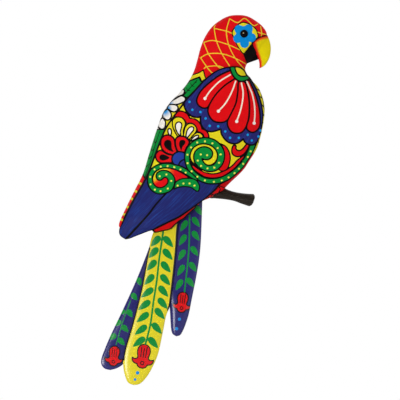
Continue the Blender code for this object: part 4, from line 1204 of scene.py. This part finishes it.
bellShape = {  # half of a bell flower in pixels, (off its axis, down from its top)
    "half": [(0, 0), (3.0, 0.7), (5.3, 2.9), (6.3, 6.2), (6.0, 9.8), (5.3, 12.6), (5.8, 14.2), (7.8, 15.2),
             (10.8, 14.4), (10.8, 14.4), (10.2, 17.3), (8.2, 19.3), (5.2, 20.0), (5.2, 20.0), (4.3, 21.9),
             (2.4, 23.3), (0, 23.7)],
    "long": 23.7, "line": 1.2, "veins": (-2.7, 0.0, 2.7), "veinFrom": 4.0, "veinTo": 13.0, "veinStep": 0.6,
    "veinDraw": 0.9, "veinWide": 1.0, "ringAt": 18.7, "ring": 1.7, "ringWide": 1.0,
}


def bellFlower(p, top, bottom):  # the half shape mirrored, laid from top to bottom
    b = bellShape
    top, down = np.array(top), np.array(bottom) - np.array(top)
    scale = np.linalg.norm(down) / b["long"]
    down /= np.linalg.norm(down)
    across = np.array([down[1], -down[0]])

    def lay(points):
        return [top + (across * x + down * y) * scale for x, y in points]
    half = b["half"]
    p.area(lay(half + [(-x, y) for x, y in half[-2:0:-1]]), "red", b["line"])
    for x in b["veins"]:
        vein = [(x, b["veinFrom"] - b["veinStep"] * abs(x)), (x * b["veinDraw"], b["veinTo"])]
        p.inkLine(lay(vein), b["veinWide"] * scale)
    ring = ovalRing(lay([(0, b["ringAt"])])[0], b["ring"] * scale, b["ring"] * scale, 0)
    p.inkLine(np.vstack([ring, ring[:1]]), b["ringWide"] * scale)


def featherPrint(spots, work, loft):  # stem and leaves, bell flower, dots, edge lines
    p = Printer(spots, work["ground"])
    p.light(tailCrop(work["stem"]), work["stemWide"], "green")
    leaves = list(work["leaves"])
    # A row of like leaves: centres, and the way from stem to tip
    for centres, (dx, dy) in work["leafSets"]:
        leaves += [((x - dx / 2, y - dy / 2), (x + dx / 2, y + dy / 2)) for x, y in centres]
    for leaf in leaves:
        p.lightArea(dropRing(*tailCrop(leaf), work["leafWide"]), "green")
    bellFlower(p, *work["bell"])
    for spot, radius in work["dots"]:
        p.dots(tailCrop([spot]), radius, "cyan")
    # Black line along a long edge, between two rows of the photo
    for edge, (top, low, wide) in work["edgeLines"].items():
        line = toPhoto(getattr(loft, edge))
        p.inkLine(line[(line[:, 1] > top) & (line[:, 1] < low)][::6], wide)
    return p


for side in ("left", "centre", "right"):
    work = featherWork[side]
    featherLoft = Loft(work["edges"], featherWork["rise"], featherWork["taper"])
    blade = featherGrid(featherLoft, work)
    enamel = printedEnamel("tail_" + side + "_enamel")
    piece = closedSheet("tail_feather_" + side + "_printed", blade, sheetThick, [enamel, liningFinish], 6)
    storePrint(piece, featherPrint(blade[..., :2].reshape(-1, 2), work, featherLoft))
    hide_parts("tail_feather_" + side)
    print("tail feather", side + ":", len(piece.data.polygons), "faces")


# Beak: two domed stampings that lean on the head

beakWork = {
    "upper": {
        "edges": [
            [(83.3, 72.2), (85.5, 63.7), (89.4, 54.5), (92, 46.5), (92.5, 38)],
            [(103.4, 83), (106.6, 74.7), (108, 65.8), (107, 55.5), (103.3, 46.6), (98, 40.5), (92.5, 38)],
        ],
        "bulge": 2.8, "levels": (9.0, 1.0, 3.0), "rise": 5.0, "ground": "yellow", "slot": "yellow_enamel",
        "warm": {"narrow": (0.85, 0.65), "long": 34, "base": 0.6, "baseLine": 0.8, "orange": 1.0,
                 "lemon": 2.4, "over": 2.2},
    },
    "lower": {
        "edges": [
            [(82.5, 71), (76.5, 64.3), (71.3, 57), (73, 50.5), (75.3, 44.4)],
            [(82.5, 71), (86.2, 64), (88.9, 58), (90.9, 53.8), (92, 50.4)],
        ],
        "bulge": 0.0, "levels": (5.0, 5.0, 3.0), "rise": 3.0, "ground": "black", "slot": "black_enamel",
    },
    "reach": 1.2, "seatGap": 0.45, "rows": 64, "columns": 40, "span": (0.004, 0.997), "softPasses": 2,
}


def beakGrid(work):  # its own dome, raised wherever the head is higher within reach
    loft = Loft(work["edges"])
    share = np.linspace(*beakWork["span"], beakWork["rows"])
    s, u = np.meshgrid(share, acrossSheet(beakWork["columns"]), indexing="ij")
    spot = loft.spot(s, u)
    base = loft.right[0] - loft.left[0]
    side = np.array([-base[1], base[0]]) / max(np.linalg.norm(base), 1e-6)
    spot = spot + side * (work["bulge"] * (1 - u**2) * (1 - s) ** 3)[..., None]
    first, second, tip = work["levels"]
    inner, outer = first + (tip - first) * s, second + (tip - second) * s
    own = inner + (outer - inner) * (u + 1) / 2 + work["rise"] * (1 - 0.5 * s) * dome(u)
    lean = bodyFront(spot[..., 0], spot[..., 1])
    for k in range(8):
        dx, dz = (beakWork["reach"] * f(k * math.pi / 4) for f in (math.cos, math.sin))
        lean = np.maximum(lean, bodyFront(spot[..., 0] + dx, spot[..., 1] + dz))
    out = soften(np.maximum(own, lean + beakWork["seatGap"]), beakWork["softPasses"]) + sheetThick
    return np.dstack([spot, out]), s


def hornPrint(printed, share, work):  # red at the inner edge, through orange to yellow; black base line
    w = work["warm"]
    depth, _ = nearestOn(printed.px, toPhoto(throughPoints(work["edges"][0])))
    depth *= w["narrow"][0] + w["narrow"][1] * share
    depth = np.minimum(depth, share * w["long"] + w["base"])  # pixels from the inner edge, or from the base
    warm = mixed(linear("orange"), linear("lemon"), easeIn((depth - w["lemon"]) / w["over"]))
    printed.paint = mixed(linear("red"), warm, easeIn((depth - w["orange"]) / w["over"]))
    printed.ink = np.minimum(printed.ink, share * w["long"] - w["baseLine"])


for half in ("upper", "lower"):
    work = beakWork[half]
    horn, hornShare = beakGrid(work)
    hornFinish = [printedEnamel(half + "_beak_enamel", "matt"), liningFinish]
    piece = closedSheet(half + "_beak_printed", horn, sheetThick, hornFinish, 6, 5)
    printed = Printer(horn[..., :2].reshape(-1, 2), work["ground"])
    if "warm" in work:
        hornPrint(printed, hornShare.ravel(), work)
    storePrint(piece, printed)
    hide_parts(half + "_beak")
print("beak ready")


# Eye: a domed black stud in the middle of the face flower, with a small painted glint

eyeWork = {"spot": (71.2, 85.0), "head": 5.4, "rise": 2.6, "gap": 0.3, "glint": (-0.9, 0.9),
           "glintSize": 0.8, "shank": 1.6, "clinch": 3.2, "clinchHigh": 1.3, "clinchRound": 0.8,
           "play": 0.35}
tinyRadius = 0.02  # where a turned profile starts and ends, near its axis


def eyeProfile(w):  # clinched foot, shank, then a quarter ellipse for the head
    foot = -sheetThick - w["gap"] - w["play"]
    end = foot - w["clinchHigh"]
    profile = [(tinyRadius, end), (w["clinch"] * w["clinchRound"], end), (w["clinch"], foot)]
    profile += [(w["shank"], foot), (w["shank"], w["gap"]), (w["head"], w["gap"])]
    for a in np.linspace(0, math.pi / 2, 14):
        profile.append((max(tinyRadius, w["head"] * math.cos(a)), w["gap"] + w["rise"] * math.sin(a)))
    return profile


eyeNormal, eyeOut = bodyNormal(*eyeWork["spot"])
eyeBase = np.array([*eyeWork["spot"], eyeOut])
eyeFinish = printedEnamel("eye_enamel", "matt")
eyePiece = turnedPiece("eye_stud_domed", eyeProfile(eyeWork), eyeBase, eyeNormal, eyeFinish)
spots = np.zeros(len(eyePiece.data.vertices) * 3)
eyePiece.data.vertices.foreach_get("co", spots)
spots = spots.reshape(-1, 3) / mm
eyePrint = Printer(np.column_stack([spots[:, 0] + nailX, spots[:, 2]]), "black")
glintAt = toPhoto(np.array(eyeWork["spot"]) + np.array(eyeWork["glint"]))
eyePrint.dots([glintAt], eyeWork["glintSize"] / photo["mmPerPixel"], "glint")
storePrint(eyePiece, eyePrint)
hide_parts("eye_stud")
print("eye ready")


# Perch branch: a flat tang behind the body, then a rounded stub that flares at its sawn end

branchWork = {
    "edges": [
        [(22.5, -86.5), (22.5, -112), (20, -131), (24, -139.5), (31.5, -140.3), (44.5, -141.5),
         (57, -143.7), (68, -147.7), (79.8, -151.4)],
        [(37, -86.5), (37, -110), (39.5, -121), (46.5, -127), (57, -131), (69.5, -133.2), (85.6, -134.5)],
    ],
    "level": 3.2, "rise": 8.0, "tang": 0.9, "gap": 0.3, "bow": 2.2, "corner": 1.6, "rows": 130,
    "columns": 44, "grow": (0.30, 0.25), "flare": (0.75, 0.25), "flareRise": 2.0, "sawn": (0.9, 0.1),
    "endSpan": 40, "ridge": 0.176, "ridges": (9, 3, 11), "grain": (9, 130), "backGrain": 40,
}


def branchGrid(work):  # tang height, then a dome that grows and flares at the end
    loft = Loft(work["edges"])
    s, u = np.meshgrid(np.linspace(0, 1, work["rows"]), acrossSheet(work["columns"]), indexing="ij")
    grow, flare, sawn = (easeIn((s - work[k][0]) / work[k][1]) for k in ("grow", "flare", "sawn"))
    front = work["tang"] + (work["rise"] - work["tang"]) * grow + work["flareRise"] * flare
    across, sway, length = work["ridges"]  # shallow bark ridges that wander
    ridge = work["ridge"] * np.sin(u * across + sway * np.sin(s * length)) * grow * dome(u)
    out = work["level"] + work["gap"] + (front - work["gap"]) * (1 - grow + grow * dome(u))
    out -= np.maximum(ridge, 0)
    spot, back = loft.spot(s, u), work["endSpan"]
    along = (loft.left[-1] + loft.right[-1] - loft.left[-back] - loft.right[-back]) / 2
    along /= np.linalg.norm(along)
    bow = work["bow"] * (1 - np.abs(u) ** 3) - work["corner"] * np.abs(u) ** 6
    spot = spot + along * (bow * sawn)[..., None]  # the sawn end bows out between worn corners
    return np.dstack([spot, out]), s, u


def blockPiece(name, front, level, material):  # a domed grid closed by a flat back and walls
    rows, columns = front.shape[:2]
    back = front.copy()
    back[..., 2] = level
    points = np.vstack([toFrame(front).reshape(-1, 3), toFrame(back).reshape(-1, 3)])
    f = np.arange(rows * columns).reshape(rows, columns)
    b = f + rows * columns
    ring = np.concatenate([f[0], f[1:, -1], f[-1, -2::-1], f[-2:0:-1, 0]])
    under = ring + rows * columns
    wall = np.stack([ring, under, np.roll(under, -1), np.roll(ring, -1)], axis=-1)
    faces = np.vstack([gridFaces(rows, columns), gridFaces(rows, columns, rows * columns, True), wall])
    piece = makePiece(name, points, faces.tolist(), [material])
    turnOutwards(piece)
    piece.data.set_sharp_from_angle(angle=creaseAngle)
    return piece


branchSheet, branchShare, branchU = branchGrid(branchWork)
branchFinish = paintedBark("branch_bark", barkLook)
branchPiece = blockPiece("perch_branch_grained", branchSheet, branchWork["level"], branchFinish)
across, along = branchU.ravel() * branchWork["grain"][0], branchShare.ravel() * branchWork["grain"][1]
grain = np.column_stack([across, along, np.zeros_like(along)])
grain = np.vstack([grain, grain + branchWork["backGrain"]]).astype(np.float32)
branchPiece.data.attributes.new("fibre", "FLOAT_VECTOR", "POINT").data.foreach_set("vector", grain.ravel())
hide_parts("perch_branch")
print("branch ready")


# Hardware behind: bars, hanger plate with its rolled eye, wire ring, rivets

steelFinish, barFinish = zincSteel("zinc_plate", zincLook), ironBar("black_iron", barLook)
barWork = {"thick": 2.0, "high": 18.0, "foot": 11.0, "ramp": 12.0, "inset": 2.6, "footOut": 1.2,
           "throatZ": 20.0, "across": 9, "along": 180, "softPasses": 3,
           "upper_bar": {"z": -29.0, "level": 8.2}, "lower_bar": {"z": -95.0, "level": 4.4}}


def barGrid(z, level):  # feet on the hem, ramps, then level between them
    w = barWork
    below = bodyLoft.right[bodyLoft.right[:, 1] < w["throatZ"]]  # the front edge where it only goes down
    profile = [w["footOut"], w["footOut"], level, level, w["footOut"], w["footOut"]]
    rows = []
    for h in np.linspace(-1, 1, w["across"]) * w["high"] / 2:
        sides = [np.interp(z + h, edge[::-1, 1], edge[::-1, 0]) for edge in (bodyLoft.left, below)]
        left, right = sides[0] + w["inset"], sides[1] - w["inset"]
        first, last = left + w["foot"], right - w["foot"]
        x = np.linspace(left, right, w["along"])
        out = np.interp(x, [left, first, first + w["ramp"], last - w["ramp"], last, right], profile)
        rows.append(np.column_stack([x, np.full_like(x, z + h), out]))
    grid = np.stack(rows, axis=1)
    grid[..., 2] = soften(grid[..., 2], w["softPasses"]) + w["thick"]
    return grid


for name in ("upper_bar", "lower_bar"):
    bar = barGrid(barWork[name]["z"], barWork[name]["level"])
    piece = closedSheet(name + "_forged", bar, barWork["thick"], [barFinish, barFinish], 2, 1)
    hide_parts(name)

hangerWork = {"eye": (4.7, -18.5), "outer": 3.2, "thick": 1.3, "wide": 14.0, "long": 22.0, "wire": 3.0,
              "half": 11.0, "reach": 20.0, "corner": 3.5, "arcSteps": 60, "leafSteps": 24, "wideSteps": 13,
              "barSteps": 20, "turnSteps": 12, "wireSteps": 24}


def plateGrid(w):  # a leaf, then an arc round the eye: the path is carried across its width
    (eyeOut, eyeZ), outer = w["eye"], w["outer"]
    angle = np.linspace(0, math.pi * 1.5 + math.asin((outer - w["thick"]) / outer), w["arcSteps"])
    rise = np.linspace(-w["long"], 0, w["leafSteps"])[:-1]
    out = np.concatenate([np.full(len(rise), eyeOut + outer), eyeOut + outer * np.cos(angle)])
    z = np.concatenate([eyeZ + rise, eyeZ + outer * np.sin(angle)])
    across = np.linspace(-1, 1, w["wideSteps"]) * w["wide"] / 2 + nailX
    grid = np.zeros((len(z), len(across), 3))
    grid[..., 0], grid[..., 1], grid[..., 2] = across[None], z[:, None], out[:, None]
    return grid


plateSheet, plateFinish = plateGrid(hangerWork), [steelFinish, steelFinish]
platePiece = closedSheet("hanger_plate_rolled", plateSheet, hangerWork["thick"], plateFinish, 2, 1)
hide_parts("hanger_plate")


def ringPath(w):  # a D: level bar in the eye, rounded corners, half circle below
    half, corner = w["half"], w["corner"]
    inset, turn = half - corner, np.linspace(0, math.pi / 2, w["turnSteps"])
    low = half - w["reach"]
    top = np.column_stack([np.linspace(-inset, inset, w["barSteps"]), np.zeros(w["barSteps"])])
    right = np.column_stack([inset + corner * np.sin(turn), -corner + corner * np.cos(turn)])[1:]
    sweep = np.linspace(0, math.pi, w["arcSteps"])
    bow = np.column_stack([half * np.cos(sweep), low - half * np.sin(sweep)])
    left = (right * [-1, 1])[::-1]
    return np.vstack([top, right, bow, left[:-1] if np.allclose(left[-1], top[0]) else left])


# A round section carried along a closed path in x and z
def wirePiece(name, path, w, spot, material, body):
    radius, steps = w["wire"] / 2, w["wireSteps"]
    along = np.roll(path, -1, axis=0) - np.roll(path, 1, axis=0)
    along /= np.linalg.norm(along, axis=1, keepdims=True)
    a = np.linspace(0, 2 * math.pi, steps, endpoint=False)
    side = np.stack([along[:, 1], -along[:, 0]], axis=-1)
    flat = path[:, None] + radius * np.cos(a)[None, :, None] * side[:, None]
    out = np.broadcast_to(radius * np.sin(a), flat.shape[:2])
    points = np.dstack([flat, out]) + np.array(spot)
    n = np.arange(points.shape[0] * steps).reshape(-1, steps)
    m, o = np.roll(n, -1, axis=0), np.roll(n, -1, axis=1)
    faces = np.stack([n, o, np.roll(m, -1, axis=1), m], axis=-1).reshape(-1, 4)
    piece = makePiece(name, toFrame(points.reshape(-1, 3)), faces.tolist(), [material], body)
    turnOutwards(piece)
    return piece


ringSpot = (nailX, *hangerWork["eye"][::-1])
ringPiece = wirePiece("hanger_ring_wire", ringPath(hangerWork), hangerWork, ringSpot, steelFinish, "ring")
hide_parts("hanger_ring")

rivetWork = {"head": 3.2, "shank": 1.6, "rise": 1.3}


def rivetPiece(name):  # two rounded heads on a shank, as long as the frame's rivet
    low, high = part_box(name)
    centre, halfLong = (low + high) / 2, (high.y - low.y) / 2 / mm
    w, turn = rivetWork, np.linspace(0, math.pi / 2, 8)
    head = [(max(tinyRadius, w["head"] * math.sin(a)), halfLong - w["rise"] * (1 - math.cos(a)))
            for a in turn]
    shank = [(w["shank"], w["rise"] - halfLong), (w["shank"], halfLong - w["rise"])]
    profile = [(r, -h) for r, h in head] + shank + head[::-1]
    spot = (centre.x / mm + nailX, centre.z / mm, -centre.y / mm)
    piece = turnedPiece(name + "_round", profile, spot, (0, 0, 1), steelFinish, 32)
    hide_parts(name)


for name in sorted(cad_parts):
    if "_rivet_" in name:
        rivetPiece(name)
    if name.startswith("wing_stud"):
        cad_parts[name].data.materials.clear()
        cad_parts[name].data.materials.append(steelFinish)
print("hardware ready")


# Studio: pale floor, white surround for the camera, soft lamps at the lower left, above and at the right

studio = {
    "centre": (200.0, 200.0), "away": 12.0, "sensor": 36.0, "clip": 60.0, "ambient": 0.52, "dim": 0.03,
    "behind": -0.1, "floorZ": -0.60, "floorHalf": 6.5, "floorSteps": 9,
    "floorTones": ((232, 231, 229), (240, 239, 237)),
    "lamps": [
        {"name": "low_softbox", "at": (-0.95, -1.35, -0.40), "size": 0.44, "power": 10.6},
        {"name": "top_softbox", "at": (0.2, -1.3, 2.2), "size": 2.6, "power": 14.0},
        {"name": "fill_softbox", "at": (1.9, -1.4, 0.2), "size": 1.8, "power": 6.5},
    ],
}


def photoSpot(pixel):  # photo pixel to frame metres at the wall
    zero, scale = photo["zero"], photo["mmPerPixel"]
    return ((pixel[0] - zero[0]) * scale - nailX) * mm, (zero[1] - pixel[1]) * scale * mm


def makeStudio(w):  # a camera as wide as the photo at the wall, and lamps that face its middle
    scene = bpy.context.scene
    scene.view_settings.view_transform = "Standard"
    camera = bpy.data.cameras.new("photo_camera")
    seen = photo["side"] * photo["mmPerPixel"] * mm
    camera.sensor_width, camera.lens = w["sensor"], w["sensor"] * w["away"] / seen
    camera.clip_end = w["clip"]
    stand = bpy.data.objects.new("photo_camera", camera)
    x, z = photoSpot(w["centre"])
    stand.location, stand.rotation_euler = (x, -w["away"], z), (math.pi / 2, 0, 0)
    scene.collection.objects.link(stand)
    scene.camera = stand
    for lamp in w["lamps"]:
        light = bpy.data.lights.new(lamp["name"], "AREA")
        light.size, light.energy = lamp["size"], lamp["power"]
        holder = bpy.data.objects.new(lamp["name"], light)
        at = np.array(lamp["at"])
        aim = np.array([x, 0.0, z]) - at
        holder.location = at
        tilt = math.atan2(math.hypot(aim[0], aim[1]), -aim[2])
        holder.rotation_euler = (tilt, 0, math.atan2(aim[1], aim[0]) - math.pi / 2)
        scene.collection.objects.link(holder)


def makeFloor(w):  # a level grid below the piece
    steps = w["floorSteps"]
    side = np.linspace(-1, 1, steps) * w["floorHalf"]
    gx, gy = np.meshgrid(side, side, indexing="ij")
    points = np.stack([gx, gy, np.full_like(gx, w["floorZ"])], axis=-1).reshape(-1, 3)
    mesh = bpy.data.meshes.new("floor")
    mesh.from_pydata(points, [], gridFaces(steps, steps).tolist())
    f = Finish("pale_floor", Specular_IOR_Level=0.2)
    cloud = f.noise(f.place(), 3.0, 4.0)
    f.feed("Base Color", f.blend(cloud, *(linear(tone) for tone in w["floorTones"])))
    f.feed("Roughness", 0.75 + (cloud - 0.5) * 0.2)
    mesh.materials.append(f.material)
    floor = bpy.data.objects.new("floor", mesh)
    bpy.context.scene.collection.objects.link(floor)


# White for the camera, and for gloss that looks past the piece; dim for gloss that looks forward
def makeWorld(w):
    world = bpy.data.worlds.new("white_surround")
    bpy.context.scene.world = world
    world.use_nodes = True
    tree, made = world.node_tree, world.node_tree.nodes.new
    path, way = made("ShaderNodeLightPath"), made("ShaderNodeTexCoord")
    parts = made("ShaderNodeSeparateXYZ")
    tree.links.new(way.outputs["Generated"], parts.inputs[0])

    def sum_(operation, a, b):
        node = made("ShaderNodeMath")
        node.operation = operation
        for k, value in enumerate((a, b)):
            if isinstance(value, float):
                node.inputs[k].default_value = value
            else:
                tree.links.new(value, node.inputs[k])
        return node.outputs[0]
    gloss = path.outputs["Is Glossy Ray"]
    behind = sum_("GREATER_THAN", parts.outputs["Y"], w["behind"])
    seen = sum_("MAXIMUM", path.outputs["Is Camera Ray"], path.outputs["Is Transmission Ray"])
    seen = sum_("MAXIMUM", seen, sum_("MULTIPLY", gloss, behind))
    base = sum_("ADD", sum_("MULTIPLY", gloss, w["dim"] - w["ambient"]), w["ambient"])
    strength = sum_("MAXIMUM", seen, base)
    sky = tree.nodes["Background"]
    sky.inputs["Color"].default_value = (1, 1, 1, 1)
    tree.links.new(strength, sky.inputs["Strength"])


makeStudio(studio)
makeFloor(studio)
makeWorld(studio)
print("studio ready")
